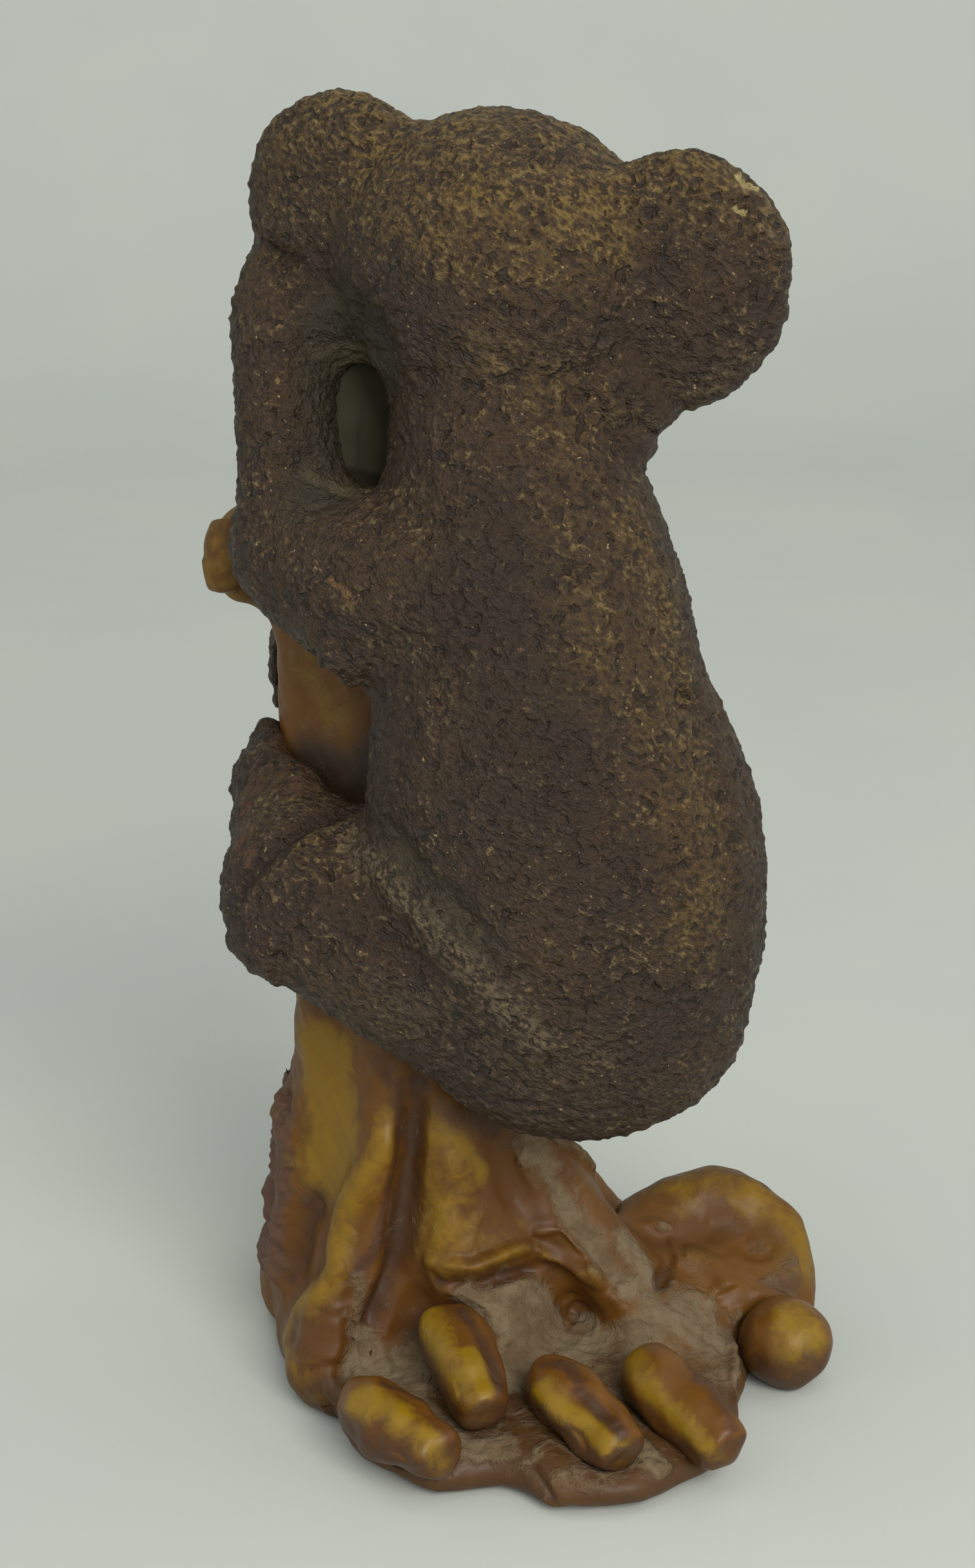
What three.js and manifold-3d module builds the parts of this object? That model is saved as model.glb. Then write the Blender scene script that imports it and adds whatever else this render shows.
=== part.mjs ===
// A koala clinging to a gum-tree stump: a shelf figurine cast in resin as separate pieces, pegged and glued.
// Millimetres, +Z up. The koala looks along +Y, so its back is towards -Y, and its own left is towards -X.
// The origin is the middle of the flat underside.
import * as THREE from "three";
import { mergeVertices } from "three/addons/utils/BufferGeometryUtils.js";
import Module from "manifold-3d";

const wasm = await Module();
wasm.setup();

// Glue joints
const GLUE_GAP = 0.3;
const PEG_RADIUS = 1.7;
const PEG_DEPTH = 5;
const PEG_ROOT = 0.32;

// Plinth: the patch of ground that everything stands on
const PLINTH_RADIUS = 25;
const APRON_ANGLE = 270;
const APRON_WIDTH = 48;
const APRON_REACH = 5;
const PLINTH_RIM = 4;
const PLINTH_CROWN = 6.6;
const HEEL_ANGLE = 150;
const HEEL_WIDTH = 34;
const HEEL_REACH = 5;
const NOTCH_ANGLE = 260;
const NOTCH_WIDTH = 7;
const NOTCH_DEPTH = 4.6;
const BAY_ANGLE = 338;
const BAY_WIDTH = 24;
const BAY_DEPTH = 4.5;

// Trunk
const TRUNK_X = -12.5;
const TRUNK_Y = 7;
const TRUNK_RADIUS = 13;
const TRUNK_TOP_RADIUS = 9;
const TRUNK_HEIGHT = 111;
const TRUNK_FOOT = 2.5;
const TRUNK_LEAN_START = 30;
const TRUNK_LEAN_X = -6;
const TRUNK_LEAN_Y = 5;
const TRUNK_TOP_SLANT = 1.5;
const FLARE_REACH = 3.6;
const FLARE_HEIGHT = 13;
const FLUTE_COUNT = 7;
const FLUTE_DEPTH = 0.45;
const SPLIT_ANGLE = 266;
const SPLIT_WIDTH = 9;
const SPLIT_DEPTH = 2;
const SPLIT_TOP = 48;
const STUB_ANGLE = 186;
const STUB_Z = 79.5;
const STUB_REACH = 6;
const STUB_RADIUS = 5.2;
const BARK_THICKNESS = 2.2;
const BARK_LOW = 9;
const BARK_HIGH = 28;

// Burl and gumnuts lying on the plinth
const BURL_RADIUS = 5;
const KNUCKLE_RADIUS = 3.6;
const GUMNUT_LENGTH = 13.8;
const GUMNUT_RADIUS = 3.5;
const GUMNUT_MOUTH = 2.5;
const GUMNUT_SINK = 0.4;
const BUD_RADIUS = 4.6;

// Koala's seat on the trunk
const PERCH_ANGLE = 311;
const NESTLE = 5.5;

// Torso, from the rump's underside up to the neck
const RUMP_Z = 42;
const RUMP_ACROSS = 15.5;
const RUMP_THROUGH = 12.5;
const RUMP_DROP = 11;
const RUMP_SHIFT_X = 1.5;
const RUMP_SHIFT_Y = 0.5;
const HIP_Z = 54;
const HIP_ACROSS = 18.3;
const HIP_THROUGH = 14.5;
const HIP_SHIFT_X = 0;
const HIP_SHIFT_Y = -0.5;
const FLANK_Z = 63;
const FLANK_ACROSS = 18.2;
const FLANK_THROUGH = 14.6;
const FLANK_SHIFT_X = -1.3;
const FLANK_SHIFT_Y = -0.8;
const WAIST_Z = 73;
const WAIST_ACROSS = 15.2;
const WAIST_THROUGH = 13.6;
const WAIST_SHIFT_X = -3;
const WAIST_SHIFT_Y = -0.6;
const CHEST_Z = 83;
const CHEST_ACROSS = 14;
const CHEST_THROUGH = 12.5;
const CHEST_SHIFT_X = -4.2;
const CHEST_SHIFT_Y = 1.5;
const NECK_Z = 97;
const NECK_ACROSS = 10.5;
const NECK_THROUGH = 11;
const NECK_SHIFT_X = -6.2;
const NECK_SHIFT_Y = 5;

// Head
const HEAD_Z = 111;
const HEAD_SHIFT_X = -6.7;
const HEAD_SHIFT_Y = 7.5;
const HEAD_TURN = 18;
const HEAD_TILT = 13;
const SKULL_ACROSS = 15;
const SKULL_THROUGH = 13.5;
const SKULL_TALL = 14.3;
const CHEEK_RADIUS = 8.5;
const MUZZLE_ACROSS = 6.5;
const MUZZLE_THROUGH = 6;
const MUZZLE_TALL = 5.5;
const NOSE_ACROSS = 3.3;
const NOSE_THROUGH = 2.4;
const NOSE_TALL = 4.6;
const EYE_RADIUS = 1.8;
const EYE_SPREAD = 6.2;
const EAR_SPREAD = 15.8;
const EAR_LEFT_RISE = 2.6;
const EAR_LEFT_TALL = 9.6;
const EAR_RIGHT_RISE = 3.4;
const EAR_RIGHT_TALL = 11.8;
const EAR_ACROSS = 10.6;
const EAR_THICKNESS = 8.4;
const EAR_SWEEP = 15;
const EAR_DISH = 2;
const MUZZLE_INSET = 1.5;
const MUZZLE_DROP = 4;
const EYE_LIFT = 2.5;

// Arms
const SHOULDER_RADIUS = 10.2;
const SHOULDER_LEFT_SPREAD = 3;
const SHOULDER_RIGHT_SPREAD = 3.6;
const SHOULDER_BACK = 1.5;
const SHOULDER_FRONT = 3.5;
const SHOULDER_LIFT = 1;
const ARM_SPLAY = 0.6;
const ARM_SAG = 1.5;
const ELBOW_RADIUS = 7;
const ELBOW_LEFT_ANGLE = 246;
const ELBOW_LEFT_Z = 86;
const ELBOW_RIGHT_ANGLE = 346;
const ELBOW_RIGHT_Z = 77;
const WRIST_RADIUS = 5;
const WRIST_SETBACK = 22;
const HAND_LEFT_ANGLE = 240;
const HAND_LEFT_Z = 106;
const HAND_RIGHT_ANGLE = 122;
const HAND_RIGHT_Z = 70;

// Legs
const HIP_DROP = 1;
const THIGH_BULGE = 3.5;
const THIGH_LIFT = 0.6;
const THIGH_RADIUS = 9.6;
const KNEE_RADIUS = 9;
const KNEE_LEFT_ANGLE = 240;
const KNEE_LEFT_Z = 54;
const KNEE_RIGHT_ANGLE = 354;
const KNEE_RIGHT_Z = 52;
const ANKLE_RADIUS = 5;
const FOOT_LEFT_ANGLE = 207;
const FOOT_LEFT_Z = 60;
const FOOT_RIGHT_ANGLE = 22;
const FOOT_RIGHT_Z = 52;

// Paws
const PALM_LENGTH = 5;
const PALM_WIDTH = 4.6;
const PALM_THICKNESS = 3.2;
const DIGIT_COUNT = 5;
const DIGIT_RADIUS = 1.25;
const DIGIT_REACH = 10;
const DIGIT_PITCH = 2.3;
const CLAW_RADIUS = 0.55;

const { degToRad, lerp, smoothstep } = THREE.MathUtils;
const V = (x, y, z) => new THREE.Vector3(x, y, z);
const UP = V(0, 0, 1);
const BACK = V(0, -1, 0);

// A bump of height 1 at an angle, in degrees, that fades out over the width on either side.
function bump(angle, middle, width) {
  const apart = ((angle - middle + 540) % 360) - 180;
  return Math.exp(-((apart / width) ** 2));
}

// A closed skin over rings of points, with a pole at either end.
function skin(rings, startPole, endPole) {
  const sides = rings[0].length;
  const points = [startPole, ...rings.flat(), endPole];
  const at = (ring, side) => 1 + ring * sides + (side % sides);
  const top = rings.length - 1;
  const faces = [];
  for (let side = 0; side < sides; side++) {
    faces.push(0, at(0, side + 1), at(0, side));
    for (let ring = 0; ring < top; ring++) {
      const [a, b] = [at(ring, side), at(ring, side + 1)];
      const [c, d] = [at(ring + 1, side), at(ring + 1, side + 1)];
      faces.push(a, b, d, a, d, c);
    }
    faces.push(points.length - 1, at(top, side), at(top, side + 1));
  }
  return new THREE.BufferGeometry().setFromPoints(points).setIndex(faces);
}

// A geometry as a solid, with its shared vertices merged and its faces pointing out.
function solid(geometry) {
  const bare = new THREE.BufferGeometry().setAttribute("position", geometry.getAttribute("position"));
  bare.setIndex(geometry.index);
  const merged = mergeVertices(bare, 1e-4);
  const triangles = [];
  for (let i = 0; i < merged.index.count; i += 3) {
    const corners = [0, 1, 2].map((k) => merged.index.getX(i + k));
    if (new Set(corners).size === 3) triangles.push(corners);
  }
  const vertProperties = new Float32Array(merged.getAttribute("position").array);
  const make = (order) =>
    new wasm.Manifold(
      new wasm.Mesh({ numProp: 3, vertProperties, triVerts: new Uint32Array(order.flat()) }),
    );
  const made = make(triangles);
  return made.volume() > 0 ? made : make(triangles.map(([a, b, c]) => [a, c, b]));
}

// A limb: oval sections along a smooth spine, with rounded ends. Each section is its half-sizes along
// `facing` and across it. `drop` is how far the first end's dome reaches, if not the section's own size.
function limb(spine, sections, { sides = 10, steps = 5, domeRings = 2, facing = BACK, drop, grow = 0 } = {}) {
  const path = new THREE.CatmullRomCurve3(spine);
  const sizes = new THREE.CatmullRomCurve3(sections.map(([along, across]) => V(along, across, 0)));
  const ring = (share, scale, shift) => {
    const tangent = path.getTangent(share);
    const centre = path.getPoint(share).addScaledVector(tangent, shift);
    const normal = facing.clone().addScaledVector(tangent, -facing.dot(tangent)).normalize();
    const side = tangent.clone().cross(normal);
    const size = sizes.getPoint(share).add(V(grow, grow, 0)).multiplyScalar(scale);
    return Array.from({ length: sides }, (_, i) => {
      const turn = (i / sides) * Math.PI * 2;
      return centre
        .clone()
        .addScaledVector(normal, size.x * Math.cos(turn))
        .addScaledVector(side, size.y * Math.sin(turn));
    });
  };
  const mean = ([along, across]) => (along + across) / 2 + grow;
  const startReach = drop === undefined ? mean(sections[0]) : drop + grow;
  const endReach = mean(sections[sections.length - 1]);
  const domes = Array.from({ length: domeRings }, (_, i) => ((i + 1) / (domeRings + 1)) * (Math.PI / 2));
  const rings = [
    ...domes.toReversed().map((a) => ring(0, Math.cos(a), -startReach * Math.sin(a))),
    ...Array.from({ length: steps + 1 }, (_, i) => ring(i / steps, 1, 0)),
    ...domes.map((a) => ring(1, Math.cos(a), endReach * Math.sin(a))),
  ];
  const startPole = path.getPoint(0).addScaledVector(path.getTangent(0), -startReach);
  const endPole = path.getPoint(1).addScaledVector(path.getTangent(1), endReach);
  return solid(skin(rings, startPole, endPole));
}

const round = (radius) => [radius, radius];

// An ellipsoid with its half-sizes along its own axes, placed by a matrix.
function ellipsoid(x, y, z, place, { around = 12, down = 8 } = {}) {
  const shape = new THREE.SphereGeometry(1, around, down).rotateX(Math.PI / 2).scale(x, y, z);
  return solid(shape.applyMatrix4(place));
}

// A straight round peg between two points.
function peg(from, to, radius) {
  const run = to.clone().sub(from);
  const turn = new THREE.Quaternion().setFromUnitVectors(V(0, 1, 0), run.clone().normalize());
  const shape = new THREE.CylinderGeometry(radius, radius, run.length(), 8);
  const middle = from.clone().lerp(to, 0.5);
  return solid(shape.applyMatrix4(new THREE.Matrix4().compose(middle, turn, V(1, 1, 1))));
}

// Everything above the table: a slab that trims a piece flat at the underside.
function aboveTable() {
  const slab = 2 * TRUNK_HEIGHT;
  return solid(new THREE.BoxGeometry(slab, slab, slab).translate(0, 0, slab / 2));
}

// Where the trunk is at a height, and a point at a distance out from its surface
const leanShare = (z) => smoothstep(z, TRUNK_LEAN_START, TRUNK_HEIGHT);
const trunkAxis = (z) => V(TRUNK_X + TRUNK_LEAN_X * leanShare(z), TRUNK_Y + TRUNK_LEAN_Y * leanShare(z), z);
const trunkRadius = (z) =>
  lerp(TRUNK_RADIUS, TRUNK_TOP_RADIUS, leanShare(z)) + FLARE_REACH * Math.exp(-((z / FLARE_HEIGHT) ** 2));

function onTrunk(angle, z, out) {
  const reach = trunkRadius(z) + out;
  return trunkAxis(z).add(V(reach * Math.cos(degToRad(angle)), reach * Math.sin(degToRad(angle)), 0));
}

// The trunk: a fluted column that flares into the ground, with one deep split down its back.
function trunkShape(grow) {
  const sides = 30;
  const steps = 12;
  const splitFade = (z) => 1 - smoothstep(z, SPLIT_TOP / 2, SPLIT_TOP);
  const rings = Array.from({ length: steps + 1 }, (_, step) => {
    const z = lerp(TRUNK_FOOT - grow, TRUNK_HEIGHT + grow, (step / steps) ** 1.15);
    return Array.from({ length: sides }, (_, side) => {
      const angle = (side / sides) * 360;
      const flute = FLUTE_DEPTH * Math.cos(degToRad(angle * FLUTE_COUNT));
      const split = SPLIT_DEPTH * bump(angle, SPLIT_ANGLE, SPLIT_WIDTH) * splitFade(z);
      const point = onTrunk(angle, z, flute - split + grow);
      if (step === steps) point.z += TRUNK_TOP_SLANT * Math.cos(degToRad(angle));
      return point;
    });
  });
  return solid(skin(rings, trunkAxis(TRUNK_FOOT - grow), trunkAxis(TRUNK_HEIGHT + grow)));
}

// The plinth: a lobed outline under ground that rises gently from the rim to the trunk.
function plinthEdge(angle) {
  const apron = APRON_REACH * bump(angle, APRON_ANGLE, APRON_WIDTH);
  const heel = HEEL_REACH * bump(angle, HEEL_ANGLE, HEEL_WIDTH);
  const notch = NOTCH_DEPTH * bump(angle, NOTCH_ANGLE, NOTCH_WIDTH);
  const bay = BAY_DEPTH * bump(angle, BAY_ANGLE, BAY_WIDTH);
  return PLINTH_RADIUS + apron + heel - notch - bay;
}

function groundZ(share) {
  return lerp(PLINTH_CROWN, PLINTH_RIM, share ** 2);
}

function plinthShape(grow) {
  const sides = 36;
  const ring = (share, z) =>
    Array.from({ length: sides }, (_, side) => {
      const angle = (side / sides) * 360;
      const reach = share * (plinthEdge(angle) + grow);
      return V(reach * Math.cos(degToRad(angle)), reach * Math.sin(degToRad(angle)), z);
    });
  const shoulder = PLINTH_RIM * 0.3;
  const rings = [ring(0.95, -grow), ring(1, shoulder), ring(0.98, PLINTH_RIM - shoulder / 2 + grow)];
  for (const share of [0.93, 0.75, 0.5]) rings.push(ring(share, groundZ(share) + grow));
  return solid(skin(rings, V(0, 0, -grow), V(0, 0, groundZ(0) + grow)));
}

// A root: a limb that leaves the trunk at one angle, and runs down to the ground at another.
function rootShape({ from, to, top, reach, radius, flat = 1 }, grow) {
  const stations = 4;
  const spine = Array.from({ length: stations }, (_, i) => {
    const share = i / (stations - 1);
    const z = lerp(top, radius * 0.75, share ** 0.8);
    return onTrunk(lerp(from, to, share), z, lerp(-radius * 0.3, reach, share ** 1.4));
  });
  const sections = spine.map((_, i) => {
    const size = radius * lerp(0.66, 1, i / (stations - 1));
    return [size, size * flat];
  });
  return limb(spine, sections, { sides: 9, domeRings: 2, facing: UP, grow }).intersect(aboveTable());
}

// A gumnut: a revolved urn that runs from its round end towards its blunt mouth.
function gumnutShape(end, heading, dip, length, grow) {
  const r = GUMNUT_RADIUS + grow;
  const mouth = GUMNUT_MOUTH + grow;
  const half = length / 2 + grow;
  const profile = new THREE.SplineCurve([
    new THREE.Vector2(0, -half),
    new THREE.Vector2(r * 0.68, -half * 0.9),
    new THREE.Vector2(r * 0.98, -half * 0.5),
    new THREE.Vector2(r * 0.93, half * 0.1),
    new THREE.Vector2(lerp(r, mouth, 0.6), half * 0.65),
    new THREE.Vector2(mouth, half),
  ]).getPoints(8);
  profile[0].x = 0;
  profile.push(new THREE.Vector2(0, half));
  const [way, slope] = [degToRad(heading), degToRad(dip)];
  const run = V(Math.cos(way), Math.sin(way), -Math.sin(slope)).normalize();
  const turn = new THREE.Quaternion().setFromUnitVectors(V(0, 1, 0), run);
  const middle = end.clone().addScaledVector(run, length / 2);
  const place = new THREE.Matrix4().compose(middle, turn, V(1, 1, 1));
  return solid(new THREE.LatheGeometry(profile, 10).applyMatrix4(place)).intersect(aboveTable());
}

// A point on the ground at an angle and at a share of the way out to the plinth's edge
function onGround(angle, share, above) {
  const reach = plinthEdge(angle) * share;
  return V(reach * Math.cos(degToRad(angle)), reach * Math.sin(degToRad(angle)), groundZ(share) + above);
}

// A slab of loose bark: a curved plate that lies on the trunk, with a rough outer face and ragged ends.
function barkShape(fromAngle, toAngle, grow) {
  const rows = 4;
  const columns = 7;
  const ring = (column) => {
    const angle = lerp(fromAngle - grow, toAngle + grow, column / columns);
    const ragged = 1.6 * Math.sin(column * 2.3);
    const level = (row) => lerp(BARK_LOW + ragged - grow, BARK_HIGH - ragged + grow, row / rows);
    const rough = (row) => 0.72 + 0.28 * Math.sin(row * 1.9 + column * 1.3);
    const outer = (row) => BARK_THICKNESS * rough(row) + GLUE_GAP + grow;
    const inner = FLUTE_DEPTH + GLUE_GAP - grow;
    const rising = Array.from({ length: rows + 1 }, (_, row) => onTrunk(angle, level(row), outer(row)));
    const falling = rising.map((_, row) => onTrunk(angle, level(row), inner)).toReversed();
    return [...rising, ...falling];
  };
  const rings = Array.from({ length: columns + 1 }, (_, column) => ring(column));
  const middle = (points) => points.reduce((sum, p) => sum.add(p), V(0, 0, 0)).divideScalar(points.length);
  return solid(skin(rings, middle(rings[0]), middle(rings[columns])));
}

// The torso's axis stands off the trunk by both their sizes, less what the chest nestles in.
const perch = trunkAxis(0).add(
  V(Math.cos(degToRad(PERCH_ANGLE)), Math.sin(degToRad(PERCH_ANGLE)), 0).multiplyScalar(
    TRUNK_RADIUS + HIP_THROUGH - NESTLE,
  ),
);
const onBody = (x, y, z) => V(perch.x + x, perch.y + y, z);

function torsoShape(grow) {
  const spine = [
    onBody(RUMP_SHIFT_X, RUMP_SHIFT_Y, RUMP_Z),
    onBody(HIP_SHIFT_X, HIP_SHIFT_Y, HIP_Z),
    onBody(FLANK_SHIFT_X, FLANK_SHIFT_Y, FLANK_Z),
    onBody(WAIST_SHIFT_X, WAIST_SHIFT_Y, WAIST_Z),
    onBody(CHEST_SHIFT_X, CHEST_SHIFT_Y, CHEST_Z),
    onBody(NECK_SHIFT_X, NECK_SHIFT_Y, NECK_Z),
  ];
  const sections = [
    [RUMP_THROUGH, RUMP_ACROSS],
    [HIP_THROUGH, HIP_ACROSS],
    [FLANK_THROUGH, FLANK_ACROSS],
    [WAIST_THROUGH, WAIST_ACROSS],
    [CHEST_THROUGH, CHEST_ACROSS],
    [NECK_THROUGH, NECK_ACROSS],
  ];
  return limb(spine, sections, { sides: 17, steps: 8, domeRings: 3, drop: RUMP_DROP, grow });
}

// The head's own frame: +Y is its face, +X its right
const headMiddle = onBody(HEAD_SHIFT_X, HEAD_SHIFT_Y, HEAD_Z);
const headAngles = new THREE.Euler(0, degToRad(HEAD_TILT), degToRad(-HEAD_TURN), "ZYX");
const headTurn = new THREE.Quaternion().setFromEuler(headAngles);
const headPlace = new THREE.Matrix4().compose(headMiddle, headTurn, V(1, 1, 1));
const onHead = (x, y, z) => new THREE.Matrix4().makeTranslation(x, y, z).premultiply(headPlace);
const headPoint = (x, y, z) => V(x, y, z).applyMatrix4(headPlace);

const muzzleY = SKULL_THROUGH - MUZZLE_INSET;
const muzzleZ = -MUZZLE_DROP;
const eyeZ = EYE_LIFT;
// How far forward the skull reaches at a point of the face
const faceY = (x, z) => SKULL_THROUGH * Math.sqrt(1 - (x / SKULL_ACROSS) ** 2 - (z / SKULL_TALL) ** 2);

function headShape(grow) {
  const skull = ellipsoid(SKULL_ACROSS + grow, SKULL_THROUGH + grow, SKULL_TALL + grow, onHead(0, 0, 0), {
    around: 15,
    down: 9,
  });
  const r = CHEEK_RADIUS + grow;
  const cheeks = [-1, 1].map((side) =>
    ellipsoid(r, r * 0.85, r, onHead(side * SKULL_ACROSS * 0.5, SKULL_THROUGH * 0.42, muzzleZ), {
      around: 8,
      down: 6,
    }),
  );
  const snout = onHead(0, muzzleY, muzzleZ);
  const muzzle = ellipsoid(MUZZLE_ACROSS + grow, MUZZLE_THROUGH + grow, MUZZLE_TALL + grow, snout);
  return skull.add(cheeks[0]).add(cheeks[1]).add(muzzle);
}

const noseY = muzzleY + MUZZLE_THROUGH * 0.85;

function noseShape(grow) {
  const place = onHead(0, noseY, muzzleZ + MUZZLE_TALL * 0.35);
  const halves = [NOSE_ACROSS + grow, NOSE_THROUGH + grow, NOSE_TALL + grow];
  return ellipsoid(...halves, place, { around: 10, down: 6 });
}

function eyeShape(side, grow) {
  const r = EYE_RADIUS + grow;
  const place = onHead(side * EYE_SPREAD, faceY(EYE_SPREAD, eyeZ) - EYE_RADIUS * 0.1, eyeZ);
  return ellipsoid(r, r, r, place, { around: 8, down: 6 });
}

// An ear: a thick round lobe whose front is dished.
function earShape(side, rise, tall, grow) {
  const sweep = new THREE.Matrix4().makeRotationZ(degToRad(side * EAR_SWEEP));
  const place = onHead(side * EAR_SPREAD, 0, rise).multiply(sweep);
  const half = EAR_THICKNESS / 2;
  const lobe = ellipsoid(EAR_ACROSS + grow, half + grow, tall + grow, place, { around: 14, down: 8 });
  if (grow) return lobe;
  const front = new THREE.Matrix4().makeTranslation(side * EAR_ACROSS * 0.12, EAR_THICKNESS - EAR_DISH, 0);
  return lobe.subtract(ellipsoid(EAR_ACROSS * 0.72, half, tall * 0.72, place.clone().multiply(front)));
}

// A paw: a palm pressed on the trunk, and clawed digits that curl round it to the side given by `way`.
function pawShape(angle, z, way, lift, grow) {
  const turnPerMm = 180 / Math.PI / (trunkRadius(z) + DIGIT_RADIUS);
  const along = (mm, rise, out) => onTrunk(angle + way * mm * turnPerMm, z + rise, out);
  const palm = limb(
    [
      along(-PALM_LENGTH, -lift * 0.4, PALM_THICKNESS * 0.8),
      along(PALM_LENGTH * 0.4, 0, PALM_THICKNESS * 0.7),
    ],
    [
      [PALM_WIDTH, PALM_THICKNESS],
      [PALM_WIDTH * 1.1, PALM_THICKNESS * 0.9],
    ],
    { sides: 8, steps: 1, domeRings: 1, facing: UP, grow },
  );
  const middle = (DIGIT_COUNT - 1) / 2;
  const digits = Array.from({ length: DIGIT_COUNT }, (_, i) => {
    const level = (i - middle) * DIGIT_PITCH;
    const reach = DIGIT_REACH * (1 - 0.06 * (i - middle) ** 2);
    const spine = [
      along(0, level * 0.8, DIGIT_RADIUS),
      along(reach * 0.55, level + lift * 0.5, DIGIT_RADIUS * 1.5),
      along(reach, level * 1.1 + lift, DIGIT_RADIUS * 0.5),
    ];
    const sections = [round(DIGIT_RADIUS), round(DIGIT_RADIUS), round(CLAW_RADIUS)];
    return limb(spine, sections, { sides: 5, steps: 2, domeRings: 0, facing: UP, grow });
  });
  return digits.reduce((hand, digit) => hand.add(digit), palm);
}

const shoulder = {
  left: onBody(CHEST_SHIFT_X - SHOULDER_LEFT_SPREAD, -SHOULDER_BACK, CHEST_Z + SHOULDER_LIFT),
  right: onBody(CHEST_SHIFT_X + SHOULDER_RIGHT_SPREAD, SHOULDER_FRONT, CHEST_Z + SHOULDER_LIFT),
};
const elbow = {
  left: onTrunk(ELBOW_LEFT_ANGLE, ELBOW_LEFT_Z, ELBOW_RADIUS * 0.6),
  right: onTrunk(ELBOW_RIGHT_ANGLE, ELBOW_RIGHT_Z, ELBOW_RADIUS * 1.8),
};
const knee = {
  left: onTrunk(KNEE_LEFT_ANGLE, KNEE_LEFT_Z, KNEE_RADIUS * 0.5),
  right: onTrunk(KNEE_RIGHT_ANGLE, KNEE_RIGHT_Z, KNEE_RADIUS * 1.4),
};
const wrist = {
  left: onTrunk(HAND_LEFT_ANGLE, HAND_LEFT_Z - PALM_LENGTH * 0.4, WRIST_RADIUS * 0.55),
  right: onTrunk(HAND_RIGHT_ANGLE - WRIST_SETBACK, HAND_RIGHT_Z, WRIST_RADIUS * 0.55),
};
const midway = (a, b) => (a + b) / 2;
const forearmSpine = (name) => [elbow[name], forearmMiddle[name], wrist[name]];
const forearmMiddle = {
  left: onTrunk(
    midway(ELBOW_LEFT_ANGLE, HAND_LEFT_ANGLE),
    midway(ELBOW_LEFT_Z, HAND_LEFT_Z),
    WRIST_RADIUS * 0.75,
  ),
  right: onTrunk(
    midway(ELBOW_RIGHT_ANGLE - 360, HAND_RIGHT_ANGLE),
    midway(ELBOW_RIGHT_Z, HAND_RIGHT_Z),
    WRIST_RADIUS,
  ),
};
const ankle = {
  left: onTrunk(FOOT_LEFT_ANGLE + 10, FOOT_LEFT_Z - PALM_LENGTH * 0.4, ANKLE_RADIUS * 0.5),
  right: onTrunk(FOOT_RIGHT_ANGLE - 12, FOOT_RIGHT_Z, ANKLE_RADIUS * 0.6),
};
const foot = {
  left: onTrunk(FOOT_LEFT_ANGLE, FOOT_LEFT_Z, PALM_THICKNESS),
  right: onTrunk(FOOT_RIGHT_ANGLE, FOOT_RIGHT_Z, PALM_THICKNESS),
};
const hip = (side) => onBody(side * HIP_ACROSS * 0.2, HIP_THROUGH * 0.1, RUMP_Z - HIP_DROP);

function upperArmShape(name, side, grow) {
  const top = shoulder[name];
  const bend = elbow[name];
  const middle = top.clone().lerp(bend, 0.55).add(V(side * ARM_SPLAY, -ARM_SAG, -ARM_SAG));
  const bicep = lerp(SHOULDER_RADIUS, ELBOW_RADIUS, 0.45);
  const sections = [round(SHOULDER_RADIUS), round(bicep), round(ELBOW_RADIUS)];
  return limb([top, middle, bend], sections, { grow });
}

function forearmShape(name, grow) {
  const sections = [round(ELBOW_RADIUS * 0.82), round(WRIST_RADIUS), round(WRIST_RADIUS)];
  return limb(forearmSpine(name), sections, { grow });
}

function thighShape(name, side, grow) {
  const top = hip(side);
  const bend = knee[name];
  const middle = top.clone().lerp(bend, 0.5).add(V(0, -THIGH_BULGE, THIGH_LIFT));
  const sections = [round(THIGH_RADIUS), round(THIGH_RADIUS * 0.9), round(KNEE_RADIUS)];
  return limb([top, middle, bend], sections, { grow });
}

function shinShape(name, grow) {
  const middle = knee[name].clone().lerp(ankle[name], 0.55);
  const calf = lerp(KNEE_RADIUS, ANKLE_RADIUS, 0.7);
  const sections = [round(KNEE_RADIUS * 0.8), round(calf), round(ANKLE_RADIUS)];
  return limb([knee[name], middle, ankle[name]], sections, { sides: 8, steps: 4, grow });
}

// The broken branch: a tapering stub that swells at its end.
function stubShape(grow) {
  const root = onTrunk(STUB_ANGLE, STUB_Z - STUB_RADIUS * 0.4, -STUB_RADIUS);
  const tip = onTrunk(STUB_ANGLE, STUB_Z + STUB_RADIUS * 0.6, STUB_REACH - STUB_RADIUS);
  const sections = [round(STUB_RADIUS * 1.2), round(STUB_RADIUS * 0.9), round(STUB_RADIUS)];
  return limb([root, root.clone().lerp(tip, 0.55), tip], sections, { facing: UP, grow });
}

// The burl: a kidney-shaped swelling on the plinth, with a smaller knuckle in its bend.
function burlShape(grow) {
  const r = BURL_RADIUS;
  const spine = [
    onGround(42, 0.56, r * 0.92),
    onGround(36, 0.86, r * 1.4),
    onGround(23, 1.02, r * 0.92),
    onGround(11, 1.02, r * 0.08),
  ];
  const sections = [round(r * 0.84), round(r * 0.96), round(r), round(r * 0.86)];
  return limb(spine, sections, { sides: 9, steps: 6, facing: UP, grow }).intersect(aboveTable());
}

function knuckleShape(grow) {
  const r = KNUCKLE_RADIUS;
  const spine = [onGround(22, 0.6, r * 0.72), onGround(11, 0.78, r * 0.61), onGround(4, 0.94, r * 0.17)];
  const sections = [round(r * 0.89), round(r), round(r * 0.83)];
  return limb(spine, sections, { sides: 9, domeRings: 2, facing: UP, grow }).intersect(aboveTable());
}

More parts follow.
